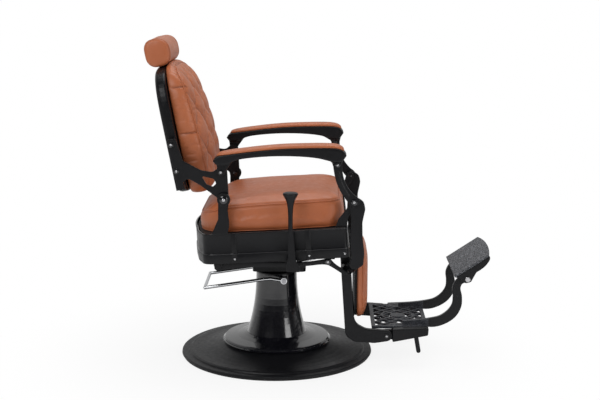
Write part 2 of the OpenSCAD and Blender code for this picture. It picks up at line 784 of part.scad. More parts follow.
BACK_RINGS = [[5, 0], [1, 0.16], [0, 0.5], [3, 0.8], [9, 0.96], [15, 1]];

module back_cushion() {
    n = 4 * GRID;
    rings = [for (r = BACK_RINGS) [for (p = back_plan(back_cushion_half_w, -12, back_h + 6, r[0]))
        in_back(p, back_depth(p, r[1], 0))]];
    inset = BACK_RINGS[len(BACK_RINGS) - 1][0];
    inner = [for (j = [1:GRID - 1]) for (i = [1:GRID - 1])
        let (u = -1 + 2 * i / GRID, v = -1 + 2 * j / GRID)
        let (p = back_point(u, v, back_cushion_half_w - inset, inset - 12, back_h + 6 - inset))
        in_back(p, back_depth(p, 1, 1 - pow(max(abs(u), abs(v)), 3.2)))];
    base = len(rings) * n;
    last = (len(rings) - 1) * n;
    function at(i, j) = j == 0 ? last + i : i == GRID ? last + GRID + j : j == GRID ? last + 3 * GRID - i :
        i == 0 ? last + (4 * GRID - j) % n : base + (j - 1) * (GRID - 1) + i - 1;
    walls = [for (k = [0:len(rings) - 2]) for (i = [0:n - 1]) let (j = (i + 1) % n)
        each [[k * n + i, k * n + j, (k + 1) * n + j], [k * n + i, (k + 1) * n + j, (k + 1) * n + i]]];
    front = [for (j = [0:GRID - 1]) for (i = [0:GRID - 1])
        each [[at(i, j), at(i + 1, j), at(i + 1, j + 1)], [at(i, j), at(i + 1, j + 1), at(i, j + 1)]]];
    back = [for (i = [0:n - 1]) [base + len(inner), (i + 1) % n, i]];
    color("#b5622f")
    leaned()
    translate([back_shell_t + soft_gap, 0, 0])
    polyhedron(concat([for (r = rings) each r], inner, [[0, 0, back_h / 2]]),
        concat(walls, front, back), convexity = 6);
}

// Depth of the cushion: thinner towards its top, and fullest at the small of the back
function back_depth(p, side, middle) =
    let (thin = 1 - 0.42 * pow(max(0, p[1] / back_h), 3))
    (back_band_t * side + back_crown * middle) * thin
    - tuft_depth * tuft(p) * min(1, middle * 1.8);

// Cast bracket between the back shell and the side frames, with a window
module back_bracket() {
    y1 = back_plate_y + plate_thk;
    color("#141416")
    difference() {
        union() {
            plate(rounded([[-334, 768, 9], [-305, 770, 8], [-284, 700, 12], [-228, 670, 40], [-190, 664, 20],
                [-166, 684, 12], [-145, 676, 10], [-141, 590, 30], [recline_x + 15, recline_z - 12, 12],
                [recline_x + 5, recline_z - 90, 60], [tie_rear_x + 13, tie_rear_z + 6, 9],
                [tie_rear_x + 7, tie_rear_z - 13, 9], [tie_rear_x - 13, tie_rear_z - 7, 9],
                [recline_x - 20, recline_z - 90, 60], [recline_x - 18, recline_z + 2, 16], [-230, 622, 30],
                [-287, 655, 16], [-283, 612, 6], [-298, 600, 6]]), back_plate_y, y1);
            leaned() translate([6, back_half_w + run_fit, 22]) cube([28, back_plate_y + 2 - back_half_w, 160]);
        }
        plate(rounded([[-226, 652, 3], [-188, 643, 4], [-179, 628, 5], [-191, 617, 4], [-211, 626, 3]]),
            back_plate_y - 1, y1 + 1);
        rod_y(recline_x, recline_z, recline_bolt_r + run_fit, back_plate_y - 1, y1 + 1);
        rod_y(arm_rear_x, arm_rear_z, bolt_r, back_plate_y - 1, y1 + 1);
        rod_y(tie_rear_x, tie_rear_z, cross_bar_r, back_plate_y - 1, y1 + 1);
        leaned() back_bolt_holes();
    }
}

back_bolt_w = [85, 170];   // places of the bracket's bolts along the back

module back_bolt_holes()
    for (w = back_bolt_w)
    translate([20, back_half_w - 2, w])
    rotate([-90, 0, 0])
    cylinder(h = back_plate_y - back_half_w + 20, r = 5);

// Bolts of the back brackets and of the rear armrest pivots
module back_bolts() {
    y1 = back_plate_y + plate_thk;
    lug_out = boss_y + arm_lug_t + 0.5;
    color("#c4c4c6")
    both_sides() {
        leaned()
            for (w = back_bolt_w) {
                rod_y(20, w, 5, back_half_w + run_fit, y1);
                bolt_head(20, w, 9, y1);
            }
        rod_y(arm_rear_x, arm_rear_z, bolt_r, back_plate_y, lug_out);
        bolt_head(arm_rear_x, arm_rear_z, 8, lug_out);
    }
}

// Bar between the lower arms of the back. Its ends carry the tie bars.
module lower_cross_bar()
    color("#19191b") {
        y1 = back_plate_y + plate_thk;
        rod_y(tie_rear_x, tie_rear_z, cross_bar_r, -y1, y1);
        both_sides() rod_y(tie_rear_x, tie_rear_z, cross_bar_r + 2.5, y1, y1 + 1.5);
    }

module headrest_socket()
    color("#7d7d80")
    leaned()
    difference() {
        translate([10, -14, back_h - 170]) cube([16, 28, 171]);
        translate([14 - run_fit, -10 - run_fit, back_h - 166]) cube([8 + 2 * run_fit, 20 + 2 * run_fit, 200]);
    }

module headrest_post() {
    low = headrest_w - headrest_h / 2;
    color("#c9ccd0")
    leaned() {
        translate([14, -10, back_h - 160]) cube([8, 20, low + 30 - back_h + 160]);
    }
}

// Rings of the headrest: [share of the half width, share of the section]
HEAD_RINGS = [[1, 0.5], [0.995, 0.78], [0.975, 0.92], [0.94, 0.985], [0.91, 1], [0.88, 0.985], [0.8, 0.99],
    [0.4, 1], [0, 1]];

module headrest_pad() {
    section = rounded([[-headrest_d / 2, -headrest_h / 2, 34], [headrest_d / 2 - 6, -headrest_h / 2, 34],
        [headrest_d / 2, headrest_h / 2 - 4, 40], [-headrest_d / 2 + 4, headrest_h / 2, 30]], 8);
    half = [for (r = HEAD_RINGS) [for (p = section) [p[0] * r[1], headrest_half_w * r[0], p[1] * r[1]]]];
    other = [for (k = [len(half) - 2:-1:0]) [for (p = half[k]) [p[0], -p[1], p[2]]]];
    color("#b5622f")
    leaned()
    difference() {
        translate([18, 0, headrest_w]) rotate([0, -4, 0]) skin(concat(half, other));
        translate([14 - soft_gap, -10 - soft_gap, headrest_w - headrest_h])
        cube([8 + 2 * soft_gap, 20 + 2 * soft_gap, headrest_h / 2 + 30 + soft_gap]);
    }
}

// ---- Armrests ----

// Top of the armrest frame, on which the pad lies: [x, z]
ARM_TOP = [[-186, 706], [-174, 719], [-148, 724], [-87, 732], [-26, 739], [36, 744], [98, 746], [158, 747],
    [200, 745], [222, 736], [230, 724]];
// Underside of the armrest frame
ARM_LOW = [[222, 712], [205, 703], [176, 707], [143, 715], [97, 720], [36, 722], [-26, 720], [-87, 714],
    [-118, 707], [-140, 696], [-176, 694]];

module armrest_frame() {
    y0 = arm_y - arm_frame_w / 2;
    color("#141416")
    difference() {
        union() {
            plate(concat(smooth(ARM_TOP, 3), smooth(ARM_LOW, 3)), y0, y0 + arm_frame_w);
            plate(rounded([[-180, 706, 3], [-176, 680, 8], [-175, 656, 10], [-153, 655, 10], [-147, 672, 12],
                [-118, 712, 3]]), boss_y, boss_y + arm_lug_t);
            plate(rounded([[150, 716, 3], [185, 696, 10], [189, 678, 11], [214, 678, 11], [217, 696, 10],
                [222, 716, 3]]), leg_plate_y - 2, leg_plate_y - 2 + arm_lug_t);
        }
        rod_y(arm_rear_x, arm_rear_z, bolt_r + run_fit, boss_y - 1, boss_y + arm_lug_t + 1);
        rod_y(arm_front_x, arm_front_z, bolt_r, leg_plate_y - 3, link_y + 1);
        plate(arm_link_room(), link_y - 1, link_y + link_t + 6);
    }
}

// Room for the head of the front link below the armrest
function arm_link_room() = [for (a = [0:15:345])
    [arm_front_x + 18 * cos(a), arm_front_z + (a > 180 ? 40 : 18) * sin(a)]];

// The pad follows the frame's top, with a rounded section
module armrest_pad() {
    half = arm_pad_w / 2;
    frame_top = smooth(ARM_TOP, 3);
    top = [for (i = [3:len(frame_top) - 4]) frame_top[i]];
    last = len(top) - 1;
    section = [[0.97, 0], [1, 0.22], [0.96, 0.5], [0.82, 0.76], [0.55, 0.92], [0, 1], [-0.55, 0.92],
        [-0.82, 0.76], [-0.96, 0.5], [-1, 0.22], [-0.97, 0], [-0.5, 0], [0, 0], [0.5, 0]];
    rings = [for (i = [0:last])
        let (t = i / last, end = pow(max(0.02, 1 - pow(abs(2 * t - 1), 5)), 0.45),
            d = unit(top[min(last, i + 1)] - top[max(0, i - 1)]))
        [for (s = section) [top[i][0] - d[1] * (soft_gap + s[1] * arm_pad_t * end),
            arm_y + s[0] * half * (0.45 + 0.55 * end), top[i][1] + d[0] * (soft_gap + s[1] * arm_pad_t * end)]]];
    color("#b5622f") skin(rings);
}

// Bolts of the front armrest pivots
module armrest_bolts()
    color("#c4c4c6")
    both_sides() {
        rod_y(arm_front_x, arm_front_z, bolt_r, leg_plate_y - 2, link_y + link_t + 0.5);
        bolt_head(arm_front_x, arm_front_z, 9, link_y + link_t + 0.5);
    }

// ---- Moving links ----

open_play = 1.3;   // play of the pivots that close the two linkages

module front_link()
    color("#141416")
    difference() {
        union() {
            plate(bar_outline([[arm_front_x + 1, arm_front_z + 13, 16], [arm_front_x, arm_front_z + 6, 27],
                [204, 672, 27], [211, 640, 26], [225, 610, 27], [243, 586, 30], [leg_pivot_x + 2, leg_pivot_z, 34],
                [leg_pivot_x + 9, leg_pivot_z - 11, 24]]), link_y, link_y + link_t);
            plate(bar_outline([[205, 670, 5], [211, 640, 6], [225, 611, 6], [238, 592, 5]]),
                link_y + link_t - 1, link_y + link_t + 2.5);
        }
        rod_y(arm_front_x, arm_front_z, bolt_r + open_play, link_y - 1, link_y + link_t + 3);
        rod_y(leg_pivot_x, leg_pivot_z, bolt_r + 1 + run_fit, link_y - 1, link_y + link_t + 3);
    }

module tie_bar() {
    slot = 2.2;
    color("#161618")
    difference() {
        plate(bar_outline([[tie_rear_x - 12, tie_rear_z - 2, 16], [tie_rear_x - 2, tie_rear_z + 1, 27],
            [tie_rear_x + 30, tie_rear_z + 4, 25], [tie_rear_x + 110, tie_rear_z + 8, 17],
            [tie_front_x - 90, tie_front_z - 9, 13], [tie_front_x - 24, tie_front_z - 2, 14],
            [tie_front_x, tie_front_z, 20], [tie_front_x + 8, tie_front_z, 14]]), tie_y, tie_y + plate_thk);
        rod_y(tie_rear_x, tie_rear_z, cross_bar_r + run_fit, tie_y - 1, tie_y + plate_thk + 1);
        for (d = [-slot:slot:slot])
            rod_y(tie_front_x + d, tie_front_z, bolt_r + 0.8, tie_y - 1, tie_y + plate_thk + 1);
    }
}

// ---- Legs ----

lug_y = tie_y - plate_thk - side_gap;
leg_out_y = leg_plate_y + plate_thk + 1;
leg_post_y1 = leg_inner_y + leg_t;

// One casting: a bar beside the seat, a web that runs in to the post, and a rail to the foot hinge
module leg_casting() {
    color("#141416")
    difference() {
        union() {
            plate(rounded([[leg_pivot_x - 15, leg_pivot_z + 5, 13], [leg_pivot_x + 4, leg_pivot_z + 18, 14],
                [286, 572, 22], [291, 548, 22], [282, 505, 40], [283, 460, 60], [289, 405, 40], [286, 366, 16],
                [262, 350, 12], [240, 362, 10], [248, 392, 30], [244, 440, 60], [246, 515, 40],
                [242, 552, 20]]), leg_plate_y, leg_out_y);
            hull() {
                plate([[246, 356], [262, 351], [286, 369], [286, 384], [250, 380]], leg_plate_y - 6, leg_out_y);
                plate([[228, 336], [252, 332], [270, 344], [266, 358], [228, 358]], 205, 211);
            }
            hull() {
                plate([[228, 336], [252, 332], [270, 344], [266, 358], [228, 358]], 205, 211);
                plate([[218, 318], [251, 316], [258, 335], [250, 352], [218, 352]], leg_post_y1 - 6, leg_post_y1);
            }
            plate(rounded([[216, 372, 5], [216, 350, 20], [219, 300, 100], [232, 105, 30], [262, 84, 30],
                [330, 80, 60], [foot_hinge_x, foot_hinge_z - 19, 0],
                each [for (a = [-80:20:80]) [foot_hinge_x + 18.5 * cos(a), foot_hinge_z + 18.5 * sin(a), 0]],
                [foot_hinge_x, foot_hinge_z + 18.5, 0], [300, 128, 40], [266, 146, 34], [258, 180, 40],
                [252, 300, 60], [246, 372, 6]]), leg_inner_y, leg_post_y1);
            plate(bar_outline([[tie_front_x - 8, tie_front_z + 6, 12], [tie_front_x + 1, tie_front_z - 1, 21],
                [196, 356, 14], [236, 330, 15]], 4), lug_y, lug_y + plate_thk);
            hull() {
                plate([[214, 336], [236, 322], [246, 336], [224, 350]], 207, 212);
                plate([[208, 345], [226, 332], [232, 340], [214, 353]], lug_y, lug_y + plate_thk);
            }
        }
        rod_y(leg_pivot_x, leg_pivot_z, bolt_r + 1 + run_fit, leg_plate_y - 1, leg_out_y + 1);
        rod_y(tie_front_x, tie_front_z, bolt_r, lug_y - 1, lug_y + plate_thk + 1);
        rod_y(foot_hinge_x, foot_hinge_z, bolt_r, leg_inner_y - 1, leg_post_y1 + 1);
    }
}

calf_board_x = 262;
leg_bar_r = 11;
leg_bar_z = [172, 345];

module leg_cross_bars()
    color("#17171a")
    for (z = leg_bar_z)
    rod_y(calf_board_x - leg_bar_r, z, leg_bar_r, -leg_inner_y, leg_inner_y);

module calf_board()
    color("#2a2a2c")
    translate([calf_board_x, 0, 0])
    rotate([90, 0, 90])
    linear_extrude(8)
    polygon(rounded([[-calf_half_w + 10, calf_low_z + 8, 40], [calf_half_w - 10, calf_low_z + 8, 40],
        [calf_half_w - 10, calf_high_z - 4, 40], [-calf_half_w + 10, calf_high_z - 4, 40]]));

CALF_RINGS = [[3, 0], [0, 5], [0, 14], [3, 20], [9, 24.5], [22, 28.5], [46, 31.5]];
calf_low_z = 150;
calf_high_z = 402;

module calf_pad()
    color("#b5622f")
    translate([calf_board_x + 8 + soft_gap, 0, 0])
    skin([for (r = CALF_RINGS)
        [for (p = rounded([[-calf_half_w + r[0], calf_low_z + r[0], 50 - r[0] * 0.5],
            [calf_half_w - r[0], calf_low_z + r[0], 50 - r[0] * 0.5],
            [calf_half_w - r[0], calf_high_z - r[0], 50 - r[0] * 0.5],
            [-calf_half_w + r[0], calf_high_z - r[0], 50 - r[0] * 0.5]], 7)) [r[1], p[0], p[1]]]]);

// Bolts of the tie bars and of the foot hinge
module leg_bolts()
    color("#c4c4c6")
    both_sides() {
        rod_y(tie_front_x, tie_front_z, bolt_r, lug_y, tie_y + plate_thk + 0.5);
        bolt_head(tie_front_x, tie_front_z, 10, tie_y + plate_thk + 0.5);
        rod_y(foot_hinge_x, foot_hinge_z, bolt_r, leg_inner_y - 12 - side_gap, leg_post_y1);
        bolt_head(foot_hinge_x, foot_hinge_z, 8, leg_post_y1);
    }

// ---- Footrest ----

foot_rail_y = leg_inner_y - side_gap - 11;
foot_rail_x = foot_hinge_x + 20;

// Side rails of the footrest, hinged inside the leg castings, with a peg below each and the S-shaped arms
module foot_rails()
    color("#141416")
    both_sides() {
        difference() {
            union() {
                plate(rounded([[foot_rail_x, foot_hinge_z - 22, 2], [plate_front_x - 2, foot_hinge_z + 1, 5],
                    [plate_front_x, plate_top_z + 2, 4], [foot_rail_x + 8, foot_hinge_z + 22, 6],
                    [foot_rail_x, foot_hinge_z + 22, 3]]), foot_rail_y, leg_inner_y + leg_t - 2);
                plate(rounded([[foot_hinge_x - 16, foot_hinge_z - 16, 12], [foot_rail_x + 4, foot_hinge_z - 18, 0],
                    [foot_rail_x + 4, foot_hinge_z + 17, 0], [foot_hinge_x - 16, foot_hinge_z + 16, 12]]),
                    foot_rail_y, leg_inner_y - side_gap);
                translate([466, foot_rail_y + 14, foot_hinge_z - 4])
                rotate([0, 180 - 10, 0])
                cylinder(h = 52, r = 7.5);
                translate([466 + 52 * sin(10), foot_rail_y + 14, foot_hinge_z - 4 - 52 * cos(10)])
                sphere(7.5, $fn = 24);
            }
            rod_y(foot_hinge_x, foot_hinge_z, bolt_r + run_fit, foot_rail_y - 1, leg_inner_y);
        }
    }

S_ARM = [[plate_front_x - 84, 136, 12], [plate_front_x - 40, 136, 18], [plate_front_x + 12, 136, 31],
    [555, 145, 32], [585, 166, 34], [602, 195, 32], [604, 226, 30], [600, 254, 27], [609, 276, 24],
    [pad_pivot_x - 6, pad_pivot_z - 3, 23], [pad_pivot_x + 8, pad_pivot_z + 4, 16]];

// Cast openwork plate with a rim, lattice bars and a plain round middle, and the S-shaped arms on it
module footplate() {
    mid_x = (plate_rear_x + plate_front_x) / 2;
    half_w = foot_rail_y - 0.5;
    low_z = plate_top_z - plate_t;
    color("#2a2c30")
    difference() {
        union() {
            translate([0, 0, low_z]) linear_extrude(plate_t) lattice(mid_x, half_w);
            both_sides() plate(bar_outline(S_ARM, 4), s_arm_y - s_arm_t / 2, s_arm_y + s_arm_t / 2);
        }
        both_sides()
            rod_y(pad_pivot_x, pad_pivot_z, bolt_r + run_fit, s_arm_y - s_arm_t, s_arm_y + s_arm_t);
    }
}

lattice_pitch = 37;
lattice_bar = 7;
rim_w = 13;

module lattice(mid_x, half_w) {
    rear = plate_rear_x;
    front = plate_front_x;
    difference() {
        translate([rear, -half_w]) square([front - rear, 2 * half_w]);
        translate([rear + rim_w, -half_w + rim_w]) square([front - rear - 2 * rim_w, 2 * (half_w - rim_w)]);
    }
    intersection() {
        translate([rear + 1, -half_w + 1]) square([front - rear - 2, 2 * half_w - 2]);
        union() {
            for (a = [-45, 45]) translate([mid_x, 0]) rotate([0, 0, a])
                for (k = [-4:4]) translate([-200, k * lattice_pitch - lattice_bar / 2])
                    square([400, lattice_bar]);
            translate([mid_x, 0]) circle(26);
            both_sides() translate([rear + 60, s_arm_y - s_arm_t / 2 - 2]) square([front - rear - 62, s_arm_t + 4]);
        }
    }
    translate([mid_x, 0]) difference() {
        circle(58);
        circle(50);
    }
}

// Section of the foot pad in its own frame, from its pivot: [along the face, up from the pivot]
pad_face_tilt = 33.6;
pad_face_rise = 34;

module at_foot_pad()
    translate([pad_pivot_x, 0, pad_pivot_z])
    rotate([0, -pad_face_tilt, 0])
    children();

module foot_pad_shell()
    color("#131316")
    at_foot_pad()
    difference() {
        union() {
            plate(concat([[-30, pad_face_rise - 7], [-22, pad_face_rise - 15]],
                smooth([[-16, 14], [4, 10], [40, 4], [72, 6], [96, 16], [102, pad_face_rise - 7]], 4)),
                -foot_pad_half_w, foot_pad_half_w);
            both_sides()
                for (y = [s_arm_y - s_arm_t / 2 - side_gap - 8, foot_pad_half_w - 7])
                plate(rounded([[-22, 18, 4], [-14, -8, 10], [4, -14, 10], [18, -6, 12], [44, 8, 4], [40, 18, 0]]),
                    y, y + 7);
        }
        both_sides()
            plate([[-60, -40], [40, -40], [40, 17], [-6, 19], [-34, 27], [-60, 27]], s_arm_y - s_arm_t / 2 - side_gap,
                s_arm_y + s_arm_t / 2 + side_gap);
        rod_y(0, 0, bolt_r, -foot_pad_half_w - 1, foot_pad_half_w + 1);
    }

// The treaded top of the foot pad, slightly arched towards its upper edge
module foot_pad_face()
    color("#35373b")
    at_foot_pad()
    translate([0, 0, pad_face_rise - 7])
    linear_extrude(7)
    polygon(concat([[-31, -foot_pad_half_w], [-31, foot_pad_half_w]],
        [for (t = [1:-0.125:-1]) [100 + 14 * (1 - t * t), foot_pad_half_w * t]]));

module foot_pad_rod()
    color("#c4c4c6") {
        rod_y(pad_pivot_x, pad_pivot_z, bolt_r, -foot_pad_half_w, foot_pad_half_w);
        both_sides() bolt_head(pad_pivot_x, pad_pivot_z, 9, foot_pad_half_w);
    }

// ---- Left and right ----

module rear_bracket_left() rear_bracket();
module rear_bracket_right() mirror([0, 1, 0]) rear_bracket();
module front_bracket_left() front_bracket();
module front_bracket_right() mirror([0, 1, 0]) front_bracket();
module back_bracket_left() back_bracket();
module back_bracket_right() mirror([0, 1, 0]) back_bracket();
module armrest_frame_left() armrest_frame();
module armrest_frame_right() mirror([0, 1, 0]) armrest_frame();
module armrest_pad_left() armrest_pad();
module armrest_pad_right() mirror([0, 1, 0]) armrest_pad();
module front_link_left() front_link();
module front_link_right() mirror([0, 1, 0]) front_link();
module tie_bar_left() tie_bar();
module tie_bar_right() mirror([0, 1, 0]) tie_bar();
module leg_casting_left() leg_casting();
module leg_casting_right() mirror([0, 1, 0]) leg_casting();

floor_ring();
base_disc();
base_bolts();
swivel_bearing();
column_flange();
column_cover();
pump_cylinder();
guide_bush();
column_collar();
pedal_bar();
pedal_shaft();
lift_ram();
ram_piston();
turret_plate();
seat_carrier();
cross_rails();
seat_skirt();
seat_board();
seat_cushion();
rear_bracket_left();
rear_bracket_right();
front_bracket_left();
front_bracket_right();
seat_pivot_bolts();
lock_tube();
lock_rod();
lever_bearing();
recline_lever();
lever_shaft();
release_rod();
release_block();
back_shell();
back_cushion();
back_bracket_left();
back_bracket_right();
back_bolts();
lower_cross_bar();
headrest_socket();
headrest_post();
headrest_pad();
armrest_frame_left();
armrest_frame_right();
armrest_pad_left();
armrest_pad_right();
armrest_bolts();
front_link_left();
front_link_right();
tie_bar_left();
tie_bar_right();
leg_casting_left();
leg_casting_right();
leg_cross_bars();
calf_board();
calf_pad();
leg_bolts();
foot_rails();
footplate();
foot_pad_shell();
foot_pad_face();
foot_pad_rod();
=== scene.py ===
import bpy, json, math
from mathutils import Matrix, Vector
from mathutils.bvhtree import BVHTree
from mathutils.kdtree import KDTree


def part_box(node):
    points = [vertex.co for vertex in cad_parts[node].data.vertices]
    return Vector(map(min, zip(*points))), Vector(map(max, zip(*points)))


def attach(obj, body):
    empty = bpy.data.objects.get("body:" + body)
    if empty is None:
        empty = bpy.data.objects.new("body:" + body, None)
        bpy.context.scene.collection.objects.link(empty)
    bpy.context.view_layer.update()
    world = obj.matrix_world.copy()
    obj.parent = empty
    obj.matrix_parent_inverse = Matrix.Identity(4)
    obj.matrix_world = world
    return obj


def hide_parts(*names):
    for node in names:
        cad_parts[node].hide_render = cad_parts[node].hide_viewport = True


# Hydraulic barber chair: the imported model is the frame, and each visible piece is dressed here.
# Metres, +X to the front of the chair, +Y to the sitter's left, Z up.

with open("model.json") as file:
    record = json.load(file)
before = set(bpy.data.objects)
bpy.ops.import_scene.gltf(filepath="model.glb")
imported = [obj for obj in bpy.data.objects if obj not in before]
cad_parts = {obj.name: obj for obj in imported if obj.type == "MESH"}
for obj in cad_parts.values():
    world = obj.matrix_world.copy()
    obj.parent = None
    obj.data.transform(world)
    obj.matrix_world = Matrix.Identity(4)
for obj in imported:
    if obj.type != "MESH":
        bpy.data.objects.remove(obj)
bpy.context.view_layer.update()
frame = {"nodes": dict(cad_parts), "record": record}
nodes = frame["nodes"]
bodyOf = {n: body for body, members in frame["record"]["behaviour"]["bodies"].items() for n in members}
slotOf = {p["node"]: p["material_slot"] for p in frame["record"]["subparts"]}
print("frame loaded:", len(nodes), "nodes")


def clearSelection():
    if bpy.context.mode != "OBJECT":
        bpy.ops.object.mode_set(mode="OBJECT")
    bpy.ops.object.select_all(action="DESELECT")


def pick(piece):
    clearSelection()
    piece.select_set(True)
    bpy.context.view_layer.objects.active = piece


# Camera, light and floor

camera = {"focalPixels": 1201.35, "framePixels": 600, "sensor": 36, "place": (0.15283, -3.98120, 1.27289),
          "azimuth": 1.051, "elevation": 10.594}
lights = {
    "key": {"place": (-1.7, -2.7, 2.5), "aim": (0.0, 0.0, 0.55), "size": 1.8, "power": 46},
    "fill": {"place": (2.6, -2.3, 1.3), "aim": (0.1, 0.0, 0.5), "size": 1.4, "power": 26},
    "top": {"place": (0.1, 0.5, 3.1), "aim": (0.1, 0.0, 0.5), "size": 2.2, "power": 34},
}
room = {"ambient": 0.42, "dimFrom": -0.35, "brightTo": 0.3, "front": 0.03, "behind": 0.55,
        "floor": (0.9, 0.9, 0.9), "floorSize": 40, "nearGlow": 0.84, "near": 0.3, "far": 1.0}


def makeCamera():
    az, el = math.radians(camera["azimuth"]), math.radians(camera["elevation"])
    behind = Vector((math.sin(az) * math.cos(el), -math.cos(az) * math.cos(el), math.sin(el)))
    right = Vector((math.cos(az), math.sin(az), 0))
    turn = Matrix((right, behind.cross(right), behind)).transposed().to_4x4()
    data = bpy.data.cameras.new("camera")
    data.sensor_width = camera["sensor"]
    data.lens = camera["focalPixels"] * camera["sensor"] / camera["framePixels"]
    data.clip_start, data.clip_end = 0.05, 60
    seen = bpy.data.objects.new("camera", data)
    bpy.context.scene.collection.objects.link(seen)
    seen.matrix_world = Matrix.Translation(camera["place"]) @ turn
    bpy.context.scene.camera = seen


def makeLight(name, place, aim, size, power):
    data = bpy.data.lights.new(name, "AREA")
    data.size, data.energy = size, power
    lamp = bpy.data.objects.new(name, data)
    bpy.context.scene.collection.objects.link(lamp)
    lamp.location = place
    lamp.rotation_mode = "QUATERNION"
    lamp.rotation_quaternion = (Vector(aim) - Vector(place)).to_track_quat("-Z", "Y")


def makeRoom():
    world = bpy.data.worlds.new("studio")
    bpy.context.scene.world = world
    world.use_nodes = True
    tree = world.node_tree
    tree.nodes.clear()
    out = tree.nodes.new("ShaderNodeOutputWorld")
    plain = tree.nodes.new("ShaderNodeBackground")
    plain.inputs["Color"].default_value = (1, 1, 1, 1)
    plain.inputs["Strength"].default_value = room["ambient"]
    white = tree.nodes.new("ShaderNodeBackground")
    white.inputs["Color"].default_value = (1, 1, 1, 1)
    mirrored = tree.nodes.new("ShaderNodeBackground")
    # the studio is white behind the chair and dim towards its front
    where = tree.nodes.new("ShaderNodeTexCoord")
    split = tree.nodes.new("ShaderNodeSeparateXYZ")
    tree.links.new(where.outputs["Generated"], split.inputs[0])
    level = tree.nodes.new("ShaderNodeMapRange")
    level.interpolation_type = "SMOOTHSTEP"
    level.inputs["From Min"].default_value = room["dimFrom"]
    level.inputs["From Max"].default_value = room["brightTo"]
    level.inputs["To Min"].default_value = room["front"]
    level.inputs["To Max"].default_value = room["behind"]
    tree.links.new(split.outputs["Y"], level.inputs["Value"])
    tree.links.new(level.outputs[0], mirrored.inputs["Color"])
    path = tree.nodes.new("ShaderNodeLightPath")
    either = tree.nodes.new("ShaderNodeMath")
    either.operation = "MAXIMUM"
    tree.links.new(path.outputs["Is Glossy Ray"], either.inputs[0])
    tree.links.new(path.outputs["Is Transmission Ray"], either.inputs[1])
    glossy = tree.nodes.new("ShaderNodeMixShader")
    tree.links.new(either.outputs[0], glossy.inputs[0])
    tree.links.new(plain.outputs[0], glossy.inputs[1])
    tree.links.new(mirrored.outputs[0], glossy.inputs[2])
    seen = tree.nodes.new("ShaderNodeMixShader")
    tree.links.new(path.outputs["Is Camera Ray"], seen.inputs[0])
    tree.links.new(glossy.outputs[0], seen.inputs[1])
    tree.links.new(white.outputs[0], seen.inputs[2])
    tree.links.new(seen.outputs[0], out.inputs[0])

    clearSelection()
    bpy.ops.mesh.primitive_plane_add(size=room["floorSize"], location=(0, 0, 0))
    floor = bpy.context.object
    floor.name = "floor"
    paint = bpy.data.materials.new("paleFloor")
    paint.use_nodes = True
    tree = paint.node_tree
    tree.nodes.clear()
    out = tree.nodes.new("ShaderNodeOutputMaterial")
    matt = tree.nodes.new("ShaderNodeBsdfDiffuse")
    matt.inputs["Color"].default_value = (*room["floor"], 1)
    glow = tree.nodes.new("ShaderNodeEmission")
    glow.inputs["Strength"].default_value = 1
    # the floor keeps the chair's shadow near it and turns to plain white further out
    path = tree.nodes.new("ShaderNodeLightPath")
    spot = tree.nodes.new("ShaderNodeTexCoord")
    away = tree.nodes.new("ShaderNodeVectorMath")
    away.operation = "LENGTH"
    tree.links.new(spot.outputs["Object"], away.inputs[0])
    fade = tree.nodes.new("ShaderNodeMapRange")
    fade.interpolation_type = "SMOOTHSTEP"
    fade.inputs["From Min"].default_value = room["near"]
    fade.inputs["From Max"].default_value = room["far"]
    fade.inputs["To Min"].default_value = room["nearGlow"]
    fade.inputs["To Max"].default_value = 1
    tree.links.new(away.outputs["Value"], fade.inputs["Value"])
    share = tree.nodes.new("ShaderNodeMath")
    share.operation = "MULTIPLY"
    tree.links.new(path.outputs["Is Camera Ray"], share.inputs[0])
    tree.links.new(fade.outputs[0], share.inputs[1])
    mix = tree.nodes.new("ShaderNodeMixShader")
    tree.links.new(share.outputs[0], mix.inputs[0])
    tree.links.new(matt.outputs[0], mix.inputs[1])
    tree.links.new(glow.outputs[0], mix.inputs[2])
    tree.links.new(mix.outputs[0], out.inputs[0])
    floor.data.materials.append(paint)


makeCamera()
for name, lamp in lights.items():
    makeLight(name, **lamp)
makeRoom()
bpy.context.scene.view_settings.view_transform = "Standard"
print("camera, lights and floor made")

# Finishes


